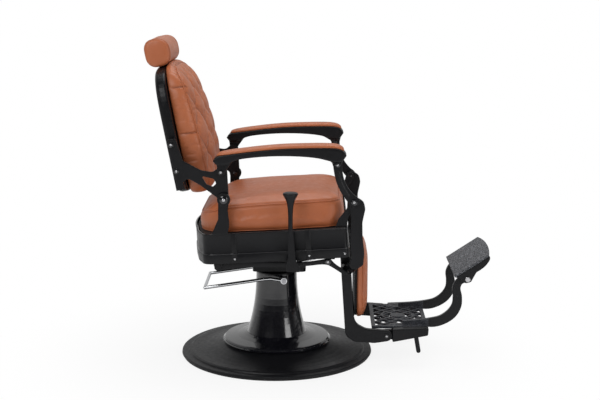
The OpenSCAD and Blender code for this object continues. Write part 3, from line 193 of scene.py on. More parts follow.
class Finish:
    # a material whose maps all read Object coordinates
    def __init__(self, name, metal=0.0, coat=0.0, coatRoughness=0.1, specular=0.5):
        self.material = bpy.data.materials.new(name)
        self.material.use_nodes = True
        self.tree = self.material.node_tree
        self.shader = self.tree.nodes["Principled BSDF"]
        self.shader.inputs["Metallic"].default_value = metal
        self.shader.inputs["Coat Weight"].default_value = coat
        self.shader.inputs["Coat Roughness"].default_value = coatRoughness
        self.shader.inputs["Specular IOR Level"].default_value = specular
        self.where = self.tree.nodes.new("ShaderNodeTexCoord").outputs["Object"]
        self.height = None

    def stretched(self, scale):
        if scale is None:
            return self.where
        node = self.tree.nodes.new("ShaderNodeMapping")
        node.inputs["Scale"].default_value = scale
        self.tree.links.new(self.where, node.inputs["Vector"])
        return node.outputs["Vector"]

    def noise(self, scale, detail=4.0, stretch=None):
        node = self.tree.nodes.new("ShaderNodeTexNoise")
        node.inputs["Scale"].default_value = scale
        node.inputs["Detail"].default_value = detail
        self.tree.links.new(self.stretched(stretch), node.inputs["Vector"])
        return node.outputs["Fac"]

    def cells(self, scale):
        node = self.tree.nodes.new("ShaderNodeTexVoronoi")
        node.feature = "F1"
        node.inputs["Scale"].default_value = scale
        self.tree.links.new(self.where, node.inputs["Vector"])
        return node.outputs["Distance"]

    def spread(self, value, low, high, start=0.3, end=0.7):
        node = self.tree.nodes.new("ShaderNodeMapRange")
        for socket, number in (("From Min", start), ("From Max", end), ("To Min", low), ("To Max", high)):
            node.inputs[socket].default_value = number
        self.tree.links.new(value, node.inputs["Value"])
        return node.outputs[0]

    def between(self, value, low, high, start=0.3, end=0.7):
        node = self.tree.nodes.new("ShaderNodeValToRGB")
        for stop, position, tone in zip(node.color_ramp.elements, (start, end), (low, high)):
            stop.position, stop.color = position, (*tone, 1)
        self.tree.links.new(value, node.inputs["Fac"])
        return node.outputs["Color"]

    def blended(self, first, second, share):
        node = self.tree.nodes.new("ShaderNodeMix")
        node.data_type = "RGBA"
        node.inputs["Factor"].default_value = share
        self.tree.links.new(first, node.inputs["A"])
        self.tree.links.new(second, node.inputs["B"])
        return node.outputs["Result"]

    def darkened(self, colour, value, shade):
        node = self.tree.nodes.new("ShaderNodeMix")
        node.data_type = "RGBA"
        node.inputs["B"].default_value = (*shade, 1)
        self.tree.links.new(value, node.inputs["Factor"])
        self.tree.links.new(colour, node.inputs["A"])
        return node.outputs["Result"]

    def colour(self, socket):
        self.tree.links.new(socket, self.shader.inputs["Base Color"])

    def roughness(self, socket):
        self.tree.links.new(socket, self.shader.inputs["Roughness"])

    def bump(self, value, strength, distance):
        node = self.tree.nodes.new("ShaderNodeBump")
        node.inputs["Strength"].default_value = strength
        node.inputs["Distance"].default_value = distance
        self.tree.links.new(value, node.inputs["Height"])
        if self.height is not None:
            self.tree.links.new(self.height, node.inputs["Normal"])
        self.height = node.outputs["Normal"]
        self.tree.links.new(self.height, self.shader.inputs["Normal"])

    def attribute(self, name):
        node = self.tree.nodes.new("ShaderNodeAttribute")
        node.attribute_name = name
        return node.outputs["Fac"]


def leatherFinish():
    f = Finish("cognacLeather", coat=0.12, coatRoughness=0.34, specular=0.42)
    tone = f.between(f.noise(7, 5), (0.36, 0.098, 0.034), (0.47, 0.142, 0.055))
    pullShade = f.between(f.noise(46, 6), (0.40, 0.118, 0.043), (0.44, 0.128, 0.05))
    # painted shade: the leather darkens towards deep brown by the mark each cushion sets along its seams and in its
    # creases
    f.colour(f.darkened(f.blended(tone, pullShade, 0.45), f.attribute("crease"), (0.16, 0.04, 0.014)))
    f.roughness(f.spread(f.noise(60, 5), 0.36, 0.5))
    f.bump(f.noise(18, 3), 0.16, 0.004)
    f.bump(f.cells(620), 0.22, 0.0005)
    f.bump(f.noise(1500, 3), 0.12, 0.0003)
    return f.material


def paintFinish(name, low, high, rough, coat=0.0, coatRoughness=0.1, peel=0.12, specular=0.5):
    f = Finish(name, coat=coat, coatRoughness=coatRoughness, specular=specular)
    f.colour(f.between(f.noise(11, 5), low, high))
    f.roughness(f.spread(f.noise(90, 4), rough[0], rough[1]))
    f.bump(f.noise(240, 3), peel, 0.0006)
    return f.material


def metalFinish(name, low, high, rough, brushed=None, scratch=0.05):
    f = Finish(name, metal=1.0)
    f.colour(f.between(f.noise(30, 4), low, high))
    f.roughness(f.spread(f.noise(160, 4, brushed), rough[0], rough[1]))
    f.bump(f.noise(420, 3, brushed), scratch, 0.0003)
    return f.material


def castPlateFinish():
    # rough dark casting on the plate, and the same smooth black as the frame on its arms
    f = Finish("castPlate", specular=0.3)
    grain = f.noise(260, 6)
    rough = f.between(grain, (0.014, 0.015, 0.019), (0.05, 0.053, 0.062), 0.35, 0.68)
    f.colour(f.darkened(rough, f.attribute("plain"), (0.0052, 0.0054, 0.0064)))
    f.roughness(f.spread(grain, 0.46, 0.36))
    f.bump(grain, 0.35, 0.0008)
    return f.material


def treadFinish():
    # fine scrolls and pips, raised on the face of the foot pad
    f = Finish("treadFace", specular=0.45)
    swirl = f.tree.nodes.new("ShaderNodeTexWave")
    swirl.wave_type = "RINGS"
    swirl.inputs["Scale"].default_value = 42
    swirl.inputs["Distortion"].default_value = 16
    swirl.inputs["Detail"].default_value = 2.5
    swirl.inputs["Detail Scale"].default_value = 1.6
    f.tree.links.new(f.where, swirl.inputs["Vector"])
    lines = swirl.outputs["Fac"]
    f.colour(f.between(lines, (0.03, 0.032, 0.038), (0.13, 0.135, 0.15), 0.35, 0.8))
    f.roughness(f.spread(f.noise(300, 4), 0.38, 0.55))
    f.bump(lines, 0.8, 0.0018)
    f.bump(f.noise(900, 4), 0.3, 0.0006)
    return f.material


finishes = {
    "leather": leatherFinish(),
    "black_paint": paintFinish("satinBlack", (0.0042, 0.0043, 0.0052), (0.0068, 0.007, 0.0085), (0.30, 0.42),
                               peel=0.1, specular=0.26),
    "shell_black": paintFinish("shellBlack", (0.0032, 0.0033, 0.0042), (0.005, 0.0052, 0.0066), (0.26, 0.38),
                               peel=0.06, specular=0.24),
    "column_gloss": paintFinish("glossBlack", (0.0035, 0.0035, 0.0055), (0.0055, 0.0055, 0.008), (0.16, 0.24),
                                coat=0.8, coatRoughness=0.04, peel=0.04),
    "base_black": paintFinish("baseBlack", (0.0045, 0.0045, 0.0056), (0.0075, 0.0075, 0.0092), (0.34, 0.46),
                              peel=0.16, specular=0.3),
    "cast_plate": castPlateFinish(),
    "chrome": metalFinish("chrome", (0.70, 0.71, 0.73), (0.80, 0.81, 0.83), (0.05, 0.12), scratch=0.02),
    "bolt_steel": metalFinish("boltSteel", (0.55, 0.55, 0.56), (0.68, 0.68, 0.70), (0.2, 0.34)),
    "steel": metalFinish("machinedSteel", (0.36, 0.36, 0.38), (0.5, 0.5, 0.52), (0.25, 0.42), brushed=(1, 1, 14)),
    "bronze": metalFinish("bronze", (0.48, 0.30, 0.12), (0.58, 0.38, 0.17), (0.28, 0.42)),
    "rubber": paintFinish("rubber", (0.010, 0.010, 0.010), (0.022, 0.022, 0.022), (0.6, 0.8),
                          peel=0.5, specular=0.3),
    "pad_board": paintFinish("padBoard", (0.014, 0.014, 0.014), (0.026, 0.026, 0.027), (0.5, 0.68),
                             peel=0.3, specular=0.35),
    "tread": treadFinish(),
}
for name, node in nodes.items():
    node.data.materials.clear()
    node.data.materials.append(finishes[slotOf[name]])
print("finishes made")

# Making a piece


def copyOf(node, name, weld=0.00002):
    # a welded copy of a CAD node, ready to be shaped
    mesh = nodes[node].data.copy()
    mesh.name = name
    for extra in [a.name for a in mesh.attributes if a.name == "custom_normal"]:
        mesh.attributes.remove(mesh.attributes[extra])
    piece = bpy.data.objects.new(name, mesh)
    bpy.context.scene.collection.objects.link(piece)
    pick(piece)
    bpy.ops.object.mode_set(mode="EDIT")
    bpy.ops.mesh.select_all(action="SELECT")
    bpy.ops.mesh.remove_doubles(threshold=weld)
    bpy.ops.object.mode_set(mode="OBJECT")
    return piece


def dress(piece, body, slot, finish=None):
    piece.data.materials.clear()
    piece.data.materials.append(finishes[finish or slot])
    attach(piece, body)
    return piece


def softenEdges(piece, width, segments=3, sharp=32):
    pick(piece)
    bevel = piece.modifiers.new("edges", "BEVEL")
    bevel.width, bevel.segments = width, segments
    bevel.limit_method, bevel.angle_limit = "ANGLE", math.radians(sharp)
    bevel.use_clamp_overlap = True
    bevel.miter_outer = "MITER_ARC"
    bpy.ops.object.modifier_apply(modifier="edges")
    bpy.ops.object.shade_smooth_by_angle(angle=math.radians(38))


def remeshed(piece, voxel):
    pick(piece)
    piece.data.remesh_voxel_size = voxel
    piece.data.use_remesh_preserve_volume = True
    bpy.ops.object.voxel_remesh()


def smoothed(piece, repeat):
    pick(piece)
    ease = piece.modifiers.new("ease", "SMOOTH")
    ease.factor, ease.iterations = 0.5, repeat
    bpy.ops.object.modifier_apply(modifier="ease")


def markPoints(piece, name, values):
    # a number for each point, which a finish reads
    mark = piece.data.attributes.new(name, "FLOAT", "POINT")
    mark.data.foreach_set("value", values)


def screwEnds(name, body, places, segments, rings):
    # small domed screw ends as one piece, from pairs of a place and the three radii
    made = []
    for place, radii in places:
        clearSelection()
        bpy.ops.mesh.primitive_uv_sphere_add(segments=segments, ring_count=rings, radius=1, location=place)
        made.append(bpy.context.object)
        made[-1].scale = radii
    clearSelection()
    for screw in made:
        screw.select_set(True)
    bpy.context.view_layer.objects.active = made[0]
    bpy.ops.object.join()
    bpy.ops.object.transform_apply(location=True, rotation=True, scale=True)
    bpy.ops.object.shade_smooth()
    made[0].name = name
    dress(made[0], body, "bolt_steel")


# Metal parts

# sheet parts have their edges bevelled, by a width
bevelled = {"tie_bar_left": 0.0014, "tie_bar_right": 0.0014, "seat_skirt": 0.0008, "foot_pad_face": 0.0012,
            "turret_plate": 0.0015, "seat_carrier": 0.0015}
# castings get a fine new skin that is eased: its voxel size, and how often it is eased
cast = {
    "armrest_frame_left": (0.0020, 16), "armrest_frame_right": (0.0020, 16), "leg_casting_left": (0.0020, 10),
    "leg_casting_right": (0.0020, 10), "front_link_left": (0.0016, 8), "front_link_right": (0.0016, 8),
    "back_bracket_left": (0.0016, 5), "back_bracket_right": (0.0016, 5), "rear_bracket_left": (0.0016, 5),
    "rear_bracket_right": (0.0016, 5), "front_bracket_left": (0.0016, 5), "front_bracket_right": (0.0016, 5),
    "foot_rails": (0.0018, 7), "footplate": (0.0015, 4), "foot_pad_shell": (0.0020, 8), "recline_lever": (0.0014, 6),
}
# the footplate's grain ends at front, where its arms begin, and fades out over a short way
plate = {"front": 0.508, "fade": 0.004}
ownFinish = {"foot_pad_face": "tread"}
rounded = {}


def pieceName(node, end):
    first, *rest = node.split("_")
    return first + "".join(w.capitalize() for w in rest) + end


def roundCastings():
    for node in [*bevelled, *cast]:
        piece = copyOf(node, pieceName(node, "Cast"))
        if node in cast:
            voxel, ease = cast[node]
            remeshed(piece, voxel)
            smoothed(piece, ease)
            bpy.ops.object.shade_smooth()
        else:
            softenEdges(piece, bevelled[node])
        if node == "footplate":
            ahead = [(v.co.x - plate["front"]) / plate["fade"] for v in piece.data.vertices]
            markPoints(piece, "plain", [min(1.0, max(0.0, far)) for far in ahead])
        dress(piece, bodyOf[node], slotOf[node], ownFinish.get(node))
        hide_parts(node)
        rounded[node] = piece


def looseParts(piece):
    # the vertex indices of each loose part
    above = list(range(len(piece.data.vertices)))

    def top(i):
        while above[i] != i:
            above[i] = above[above[i]]
            i = above[i]
        return i

    for edge in piece.data.edges:
        a, b = top(edge.vertices[0]), top(edge.vertices[1])
        above[a] = b
    groups = {}
    for i in range(len(above)):
        groups.setdefault(top(i), []).append(i)
    return list(groups.values())


bolts = {"nodes": ("seat_pivot_bolts", "back_bolts", "armrest_bolts", "leg_bolts"), "centre": 0.56, "rise": 0.28,
         "faceDepth": 0.0002, "edge": 0.0008}


def dressBolts():
    # each bolt head is black, with a small bright screw end in its middle
    for node in bolts["nodes"]:
        piece = copyOf(node, pieceName(node, "Heads"))
        screws = []
        for group in looseParts(piece):
            shown = [piece.data.vertices[i].co.copy() for i in group]
            side = 1 if sum(p.y for p in shown) > 0 else -1
            end = max(p.y * side for p in shown)
            face = [p for p in shown if p.y * side > end - bolts["faceDepth"]]
            middle = sum(face, Vector()) / len(face)
            reach = max((p - middle).length for p in face)
            screws.append((middle, (reach * bolts["centre"], reach * bolts["rise"], reach * bolts["centre"])))
        softenEdges(piece, bolts["edge"])
        dress(piece, bodyOf[node], slotOf[node], "column_gloss")
        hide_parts(node)
        screwEnds(pieceName(node, "Screws"), bodyOf[node], screws, 20, 12)


# Leather pads


def roundedOutline(corners, steps=10):
    # closed outline through corners (x, y, radius)
    line = []
    for i, (x, y, radius) in enumerate(corners):
        q = Vector((x, y))
        u = (Vector(corners[i - 1][:2]) - q).normalized()
        v = (Vector(corners[(i + 1) % len(corners)][:2]) - q).normalized()
        half = u.angle(v) / 2
        run, middle = radius / math.tan(half), q + (u + v).normalized() * radius / math.sin(half)
        a = q + u * run - middle
        turn = math.atan2(*(q + v * run - middle).yx) - math.atan2(*a.yx)
        turn = (turn + math.pi) % (2 * math.pi) - math.pi
        for k in range(steps + 1):
            t = math.atan2(*a.yx) + turn * k / steps
            line.append(middle + Vector((math.cos(t), math.sin(t))) * radius)
    return line


def refined(piece):
    pick(piece)
    finer = piece.modifiers.new("finer", "SUBSURF")
    finer.levels = finer.render_levels = 1
    bpy.ops.object.modifier_apply(modifier="finer")
    bpy.ops.object.shade_smooth()


def inflate(piece, pressure, cap, still=None, spare=0.0):
    # the cover swells like stuffed leather, held where it is still, and no point moves further than cap
    rest = [v.co.copy() for v in piece.data.vertices]
    if still:
        group = piece.vertex_groups.new(name="still")
        for index, weight in still.items():
            group.add([index], weight, "REPLACE")
    pick(piece)
    cloth = piece.modifiers.new("cloth", "CLOTH")
    made = cloth.settings
    made.quality = 5
    made.mass = 0.3
    made.tension_stiffness = made.compression_stiffness = 15
    made.shear_stiffness = 5
    made.bending_stiffness = 0.6
    made.use_pressure = True
    made.uniform_pressure_force = pressure
    made.effector_weights.gravity = 0
    made.shrink_min = -spare
    cloth.collision_settings.use_collision = False
    if still:
        made.vertex_group_mass = "still"
    for moment in range(1, 21):
        bpy.context.scene.frame_set(moment)
    swollen = piece.evaluated_get(bpy.context.evaluated_depsgraph_get())
    ends = [v.co.copy() for v in swollen.data.vertices]
    piece.modifiers.remove(cloth)
    bpy.context.scene.frame_set(1)
    for v, start, end in zip(piece.data.vertices, rest, ends):
        step = end - start
        if step.length > cap:
            step *= cap / step.length
        v.co = start + step
    piece.data.update()


def onSurface(piece, points, out=0.0):
    # the nearest places on the piece, lifted out by a little
    tree = BVHTree.FromObject(piece, bpy.context.evaluated_depsgraph_get())
    found = [tree.find_nearest(p) for p in points]
    return [place + normal * out for place, normal, face, far in found]


def evenly(points, step):
    # a closed line cut again into equal steps
    loop = points + [points[0]]
    lengths = [(b - a).length for a, b in zip(loop, loop[1:])]
    total = sum(lengths)
    count = max(8, round(total / step))
    even, i, gone = [], 0, 0.0
    for k in range(count):
        want = total * k / count
        while gone + lengths[i] < want:
            gone += lengths[i]
            i += 1
        even.append(loop[i].lerp(loop[i + 1], (want - gone) / max(lengths[i], 1e-9)))
    return even


def nearness(piece, path, reach):
    # 1 on the path and 0 at reach away from it, for each vertex
    tree = KDTree(len(path))
    for i, p in enumerate(path):
        tree.insert(p, i)
    tree.balance()
    return [max(0.0, 1 - tree.find(v.co)[2] / reach) for v in piece.data.vertices]


def tuck(piece, near, depth):
    # draws the cover in where it is sewn
    normals = [v.normal.copy() for v in piece.data.vertices]
    for v, n, k in zip(piece.data.vertices, normals, near):
        v.co -= n * depth * k * k * (3 - 2 * k)
    piece.data.update()


def pipeAlong(name, path, radius):
    # a thin round cord in a closed line
    line = bpy.data.curves.new(name, "CURVE")
    line.dimensions = "3D"
    spline = line.splines.new("POLY")
    spline.points.add(len(path) - 1)
    for point, place in zip(spline.points, path):
        point.co = (*place, 1)
    spline.use_cyclic_u = True
    line.bevel_depth, line.bevel_resolution = radius, 2
    piece = bpy.data.objects.new(name, line)
    bpy.context.scene.collection.objects.link(piece)
    pick(piece)
    bpy.ops.object.convert(target="MESH")
    bpy.ops.object.shade_smooth()
    return bpy.context.object


def padDone(piece, body, node):
    dress(piece, body, "leather")
    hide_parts(node)


seat = {"voxel": 0.005, "ease": 12, "rear": -0.254, "front": 0.232, "halfWidth": 0.24, "sideHeight": 0.089,
        "boardTop": 0.4723, "boardSlope": 0.056, "stillTo": 0.006, "swell": 0.003, "skirtFoot": 0.379, "tilt": 3.2,
        "seamIn": 0.007, "seamWidth": 0.012, "tuck": 0.0022, "piping": 0.0021, "welt": 0.0016, "rearIn": 0.013}


def drawnIn(x):
    # the cushion's rear stands a little inside the rear of the skirt
    t = min(1.0, max(0.0, (-0.10 - x) / 0.14))
    return x + seat["rearIn"] * t * t * (3 - 2 * t)


def seatLine(inset, share):
    # a line round the seat cushion, at a share of its side's height
    r, f, w = seat["rear"] + inset, seat["front"] - inset, seat["halfWidth"] - inset
    plan = roundedOutline([(r, -w + 0.01, 0.118 - inset * 0.7), (0.02, -w, 0.7), (f, -w + 0.008, 0.052 - inset * 0.3),
                           (f, w - 0.008, 0.052 - inset * 0.3), (0.02, w, 0.7), (r, w - 0.01, 0.118 - inset * 0.7)])
    turn = Matrix.Rotation(-math.radians(seat["tilt"]), 3, "Y")
    foot = Vector((0, 0, seat["skirtFoot"]))
    line = []
    for p in plan:
        fall = max(0.0, (-0.09 - p.x) / 0.165) ** 1.6
        z = seat["boardTop"] + seat["sideHeight"] * share * (1 - 0.35 * fall)
        place = foot + turn @ (Vector((p.x, p.y, z)) - foot)
        line.append(Vector((drawnIn(place.x), place.y, place.z)))
    return evenly(line, 0.006)


def makeSeatCushion():
    piece = copyOf("seat_cushion", "seatCushion")
    remeshed(piece, seat["voxel"])
    smoothed(piece, seat["ease"])
    for v in piece.data.vertices:
        v.co.x = drawnIn(v.co.x)
    top = seat["boardTop"]
    low = [v.index for v in piece.data.vertices if v.co.z < top + v.co.x * seat["boardSlope"] + seat["stillTo"]]
    inflate(piece, 4, seat["swell"], {i: 1.0 for i in low})
    refined(piece)
    seam = onSurface(piece, seatLine(seat["seamIn"], 0.985))
    near = nearness(piece, seam, seat["seamWidth"])
    tuck(piece, near, seat["tuck"])
    # painted shade along the tucked seam, strongest on it
    markPoints(piece, "crease", [0.5 * k ** 3 for k in near])
    padDone(piece, "seat", "seat_cushion")
    edge = pipeAlong("seatPiping", onSurface(piece, seam, 0.0012), seat["piping"])
    dress(edge, "seat", "leather")
    # a sewn line where the side panel meets the board
    foot = pipeAlong("seatFootWelt", onSurface(piece, seatLine(0.006, 0.03), 0.0006), seat["welt"])
    dress(foot, "seat", "leather")


# the rings run from the shell round the side band to the front: millimetres inwards, and share of the band
back = {
    "grid": 96, "halfWidth": 0.2, "low": -0.012, "high": 0.414, "height": 0.408, "band": 0.071, "crown": 0.025,
    "tuft": 0.013, "tuftWidth": 0.4 / 3, "tuftHeight": 0.148, "tuftLow": 0.116, "tuftSpread": 0.016,
    "foot": (-0.308, 0.580), "lean": 10.8, "shell": 0.0363, "swell": 0.010, "sewn": 0.006,
    "seamIn": 0.011, "seamWidth": 0.009, "tuck": 0.0016, "piping": 0.0017,
    "rings": ((5, 0), (2.5, 0.06), (1, 0.16), (0.2, 0.32), (0, 0.5), (1.2, 0.66), (3, 0.8), (6, 0.9), (10, 0.97),
              (15, 1)),
}
pulls = {"at": (0.190, 0.338), "from": 0.004, "to": 0.075, "slant": 0.12, "slantFrom": 0.03,
         "narrow": 0.0028, "narrowDepth": 0.0034, "wide": 0.016, "wideDepth": 0.0026}


def backPoint(u, v, inset):
    # a point of the back's outline or inside it, for u and v from -1 to 1
    halfWidth, low, high = back["halfWidth"] - inset, back["low"] + inset, back["high"] - inset
    r, n = max(abs(u), abs(v)), 4 if v > 0 else 7
    k = 1 if r == 0 else r / (abs(u) ** n + abs(v) ** n) ** (1 / n)
    return halfWidth * u * k, (low + high) / 2 + (high - low) / 2 * v * k


def seamNearness(x, w):
    # how near a point is to the diamond seams, and to where they cross
    a = x / back["tuftWidth"] + (w - back["tuftLow"]) / back["tuftHeight"]
    b = x / back["tuftWidth"] - (w - back["tuftLow"]) / back["tuftHeight"]
    offA, offB = abs(a - round(a)), abs(b - round(b))
    pitch = back["tuftWidth"] * back["tuftHeight"] / math.hypot(back["tuftWidth"], back["tuftHeight"])
    return min(offA, offB) * pitch, math.hypot(offA, offB) * pitch


def backDepth(x, w, side, middle):
    high = max(0.0, w / back["height"])
    thin = 1 - 0.42 * high ** 3 - 0.26 * high ** 14
    seam, cross = seamNearness(x, w)
    drawn = 0.62 * math.exp(-seam / back["tuftSpread"]) + 0.38 * math.exp(-((cross / back["tuftSpread"]) ** 2))
    return (back["band"] * side + back["crown"] * middle) * thin - back["tuft"] * drawn * min(1, middle * 1.8)


def inRoom(x, depth, w):
    # a point of the back, given across, in front of the shell's rear face and up along the lean
    a = math.radians(back["lean"])
    ahead, up = depth * math.cos(a) - w * math.sin(a), depth * math.sin(a) + w * math.cos(a)
    return Vector((back["foot"][0] + ahead, x, back["foot"][1] + up))


def alongBack(p):
    a = math.radians(back["lean"])
    dx, dz = p.x - back["foot"][0], p.z - back["foot"][1]
    return dx * math.cos(a) + dz * math.sin(a), -dx * math.sin(a) + dz * math.cos(a)


def makeBackCushion():
    n = back["grid"]
    edge = [(s, -1 + 2 * i / n) for s in range(4) for i in range(n)]
    square = [(t, -1) if s == 0 else (1, t) if s == 1 else (-t, 1) if s == 2 else (-1, -t) for s, t in edge]
    points, faces, seams = [], [], {}
    for inset, side in back["rings"]:
        for u, v in square:
            x, w = backPoint(u, v, inset / 1000)
            points.append(inRoom(x, back["shell"] + backDepth(x, w, side, 0), w))
    ring, last = 4 * n, (len(back["rings"]) - 1) * 4 * n
    inset = back["rings"][-1][0] / 1000
    first = len(points)
    for j in range(1, n):
        for i in range(1, n):
            u, v = -1 + 2 * i / n, -1 + 2 * j / n
            x, w = backPoint(u, v, inset)
            middle = 1 - max(abs(u), abs(v)) ** 3.2
            seam, cross = seamNearness(x, w)
            if seam < 0.0032:
                seams[len(points)] = 1.0 if cross < 0.012 else 0.96
            points.append(inRoom(x, back["shell"] + backDepth(x, w, 1, middle), w))

    def at(i, j):
        if j == 0:
            return last + i
        if i == n:
            return last + n + j
        if j == n:
            return last + 3 * n - i
        return last + (4 * n - j) % ring if i == 0 else first + (j - 1) * (n - 1) + i - 1

    for k in range(len(back["rings"]) - 1):
        for i in range(ring):
            j = (i + 1) % ring
            faces.append((k * ring + i, k * ring + j, (k + 1) * ring + j, (k + 1) * ring + i))
    faces += [(at(i, j), at(i + 1, j), at(i + 1, j + 1), at(i, j + 1)) for j in range(n) for i in range(n)]
    points.append(inRoom(0, back["shell"], back["height"] / 2))
    faces += [(len(points) - 1, (i + 1) % ring, i) for i in range(ring)]
    mesh = bpy.data.meshes.new("backCushion")
    mesh.from_pydata(points, [], faces)
    piece = bpy.data.objects.new("backCushion", mesh)
    bpy.context.scene.collection.objects.link(piece)
    pick(piece)
    bpy.ops.object.mode_set(mode="EDIT")
    bpy.ops.mesh.select_all(action="SELECT")
    bpy.ops.mesh.normals_make_consistent(inside=False)
    bpy.ops.object.mode_set(mode="OBJECT")
    still = {i: 1.0 for i in range(2 * ring)}
    still.update({i: 0.9 for i in range(last, last + ring)})
    still.update(seams)
    still[len(points) - 1] = 1.0
    inflate(piece, 5, back["swell"], still, spare=0.03)
    refined(piece)
    # short pulls across the side band, where the seams of the front reach it; painted shade is also marked in these
    # pulls and along the front's diamond seams
    creaseShades = []
    for v in piece.data.vertices:
        depth, w = alongBack(v.co)
        depth -= back["shell"]
        seam, cross = seamNearness(v.co.y, w)
        sewn = max(0.0, 1 - seam / back["sewn"]) if depth > 0.05 and abs(v.co.y) < 0.18 else 0.0
        pullShade = 0.0
        if abs(v.co.y) > 0.17 and pulls["from"] < depth < pulls["to"]:
            fade = math.sin(math.pi * (depth - pulls["from"]) / (pulls["to"] - pulls["from"]))
            for height in pulls["at"]:
                off = w - height + pulls["slant"] * (depth - pulls["slantFrom"])
                narrow = math.exp(-((off / pulls["narrow"]) ** 2))
                wide = math.exp(-((off / pulls["wide"]) ** 2))
                pullShade = max(pullShade, fade * narrow)
                drawn = (pulls["narrowDepth"] * narrow + pulls["wideDepth"] * wide) * fade
                v.co.y -= math.copysign(drawn, v.co.y)
        # painted shade in the diamond seams and in the pulls
        creaseShades.append(0.75 * max(sewn ** 2, pullShade))
    piece.data.update()
    line = []
    for u, v in square:
        x, w = backPoint(u, v, back["seamIn"])
        line.append(inRoom(x, back["shell"] + backDepth(x, w, 0.98, 0), w))
    seam = onSurface(piece, evenly(line, 0.006))
    near = nearness(piece, seam, back["seamWidth"])
    tuck(piece, near, back["tuck"])
    # painted shade: the larger of that and the shade along the piped seam
    markPoints(piece, "crease", [max(c, 0.45 * k ** 3) for c, k in zip(creaseShades, near)])
    padDone(piece, "back", "back_cushion")
    edge = pipeAlong("backPiping", onSurface(piece, seam, 0.0008), back["piping"])
    dress(edge, "back", "leather")


head = {"voxel": 0.004, "ease": 5, "seamAt": 0.1165, "seamReach": 0.06, "seamWidth": 0.010, "tuck": 0.0018,
        "slim": 0.94, "forward": 0.001, "drop": 0.003, "swell": 0.003, "piping": 0.0017}


def makeHeadrest():
    piece = copyOf("headrest_pad", "headrestPad")
    remeshed(piece, head["voxel"])
    smoothed(piece, head["ease"])
    low, high = (Vector(p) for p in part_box("headrest_pad"))
    middle = (low + high) / 2
    for v in piece.data.vertices:
        v.co.x = middle.x + (v.co.x - middle.x) * head["slim"] + head["forward"]
        v.co.z -= head["drop"]
    middle.z -= head["drop"]
    inflate(piece, 4, head["swell"])
    refined(piece)
    seams = []
    for side in (-1, 1):
        ring = []
        for degrees in range(0, 360, 5):
            a = math.radians(degrees)
            reach = Vector((math.cos(a), 0, math.sin(a))) * head["seamReach"]
            ring.append(Vector((middle.x, side * head["seamAt"], middle.z)) + reach)
        seams.append(onSurface(piece, evenly(onSurface(piece, ring), 0.005)))
    near = nearness(piece, seams[0] + seams[1], head["seamWidth"])
    tuck(piece, near, head["tuck"])
    # painted shade along the piped end seams
    markPoints(piece, "crease", [0.55 * k ** 3 for k in near])
    padDone(piece, "headrest", "headrest_pad")
    for seam, name in zip(seams, ("headrestPipingRight", "headrestPipingLeft")):
        dress(pipeAlong(name, onSurface(piece, seam, 0.0008), head["piping"]), "headrest", "leather")


armPad = {"voxel": 0.003, "ease": 4}


def makeArmPads():
    for side in ("left", "right"):
        piece = copyOf("armrest_pad_" + side, "armPad" + side.capitalize())
        remeshed(piece, armPad["voxel"])
        smoothed(piece, armPad["ease"])
        refined(piece)
        # the arm pads get no painted crease shade
        markPoints(piece, "crease", [0.0] * len(piece.data.vertices))
        padDone(piece, "armrests", "armrest_pad_" + side)


calf = {"voxel": 0.005, "ease": 4, "face": 0.270, "halfWidth": 0.14, "low": 0.150, "high": 0.402, "stillTo": 0.004,
        "swell": 0.005, "seamIn": 0.006, "seamAhead": 0.026, "corner": 0.047, "seamWidth": 0.009, "tuck": 0.0016,
        "piping": 0.0016}


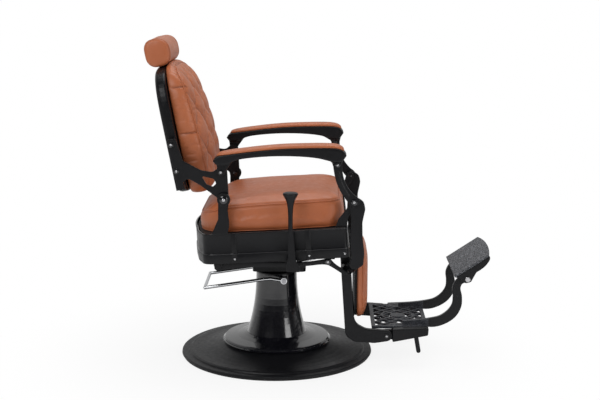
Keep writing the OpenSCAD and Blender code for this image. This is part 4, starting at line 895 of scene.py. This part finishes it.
def makeCalfPad():
    piece = copyOf("calf_pad", "calfPad")
    remeshed(piece, calf["voxel"])
    smoothed(piece, calf["ease"])
    rear = [v.index for v in piece.data.vertices if v.co.x < calf["face"] + calf["stillTo"]]
    inflate(piece, 4, calf["swell"], {i: 1.0 for i in rear})
    refined(piece)
    w, r = calf["halfWidth"] - calf["seamIn"], calf["corner"]
    low, high = calf["low"] + calf["seamIn"], calf["high"] - calf["seamIn"]
    plan = roundedOutline([(-w, low, r), (w, low, r), (w, high, r), (-w, high, r)])
    ring = [Vector((calf["face"] + calf["seamAhead"], p.x, p.y)) for p in plan]
    seam = onSurface(piece, evenly(ring, 0.006))
    near = nearness(piece, seam, calf["seamWidth"])
    tuck(piece, near, calf["tuck"])
    # painted shade along the tucked seam
    markPoints(piece, "crease", [0.5 * k ** 3 for k in near])
    padDone(piece, "legs", "calf_pad")
    dress(pipeAlong("calfPiping", onSurface(piece, seam, 0.0008), calf["piping"]), "legs", "leather")


# Skirt trims

skirt = {"rear": -0.268, "front": 0.240, "halfWidth": 0.265, "low": 0.379, "high": 0.475, "band": 0.410,
         "bandOut": 0.0025, "strips": (-0.122, 0.114), "bead": 0.0016, "screwHeight": 0.392,
         "screw": (0.0036, 0.0024, 0.0036)}


def skirtLine(out, z):
    r, f, w = skirt["rear"] - out, skirt["front"] + out, skirt["halfWidth"] + out
    plan = roundedOutline([(r - 0.004, 0, 0.6), (r + 0.030, -w + 0.075, 0.16), (r + 0.056, -w + 0.002, 0.036), (f, -w, 0.012),
                           (f, w, 0.012), (r + 0.056, w - 0.002, 0.036), (r + 0.030, w - 0.075, 0.16)])
    turn = Matrix.Rotation(-math.radians(seat["tilt"]), 3, "Y")
    foot = Vector((0, 0, skirt["low"]))
    return [foot + turn @ (Vector((p.x, p.y, z)) - foot) for p in plan]


def makeSkirtTrims():
    # rolled edges along the skirt's top and along its lower band
    skin = rounded["seat_skirt"]
    beads = (("skirtTopBead", skirt["high"] - 0.001, 0.0), ("skirtBandBead", skirt["band"], skirt["bandOut"]))
    for name, z, out in beads:
        path = evenly(onSurface(skin, evenly(skirtLine(out, z), 0.004)), 0.004)
        dress(pipeAlong(name, path, skirt["bead"]), "seat", "black_paint", "column_gloss")
    # a screw at the foot of each strip and near the front end of the band
    screws = []
    for side in (-1, 1):
        for x in (*skirt["strips"], skirt["front"] - 0.012):
            z = skirt["screwHeight"] + x * math.tan(math.radians(seat["tilt"]))
            place = onSurface(skin, [Vector((x, side * (skirt["halfWidth"] + 0.006), z))])[0]
            screws.append((place, skirt["screw"]))
    screwEnds("skirtScrews", "seat", screws, 16, 10)


roundCastings()
print("castings rounded:", len(bevelled) + len(cast))
dressBolts()
print("bolts made")
makeSkirtTrims()
print("skirt trims made")
makeSeatCushion()
makeBackCushion()
makeHeadrest()
makeArmPads()
makeCalfPad()
print("leather pads made")
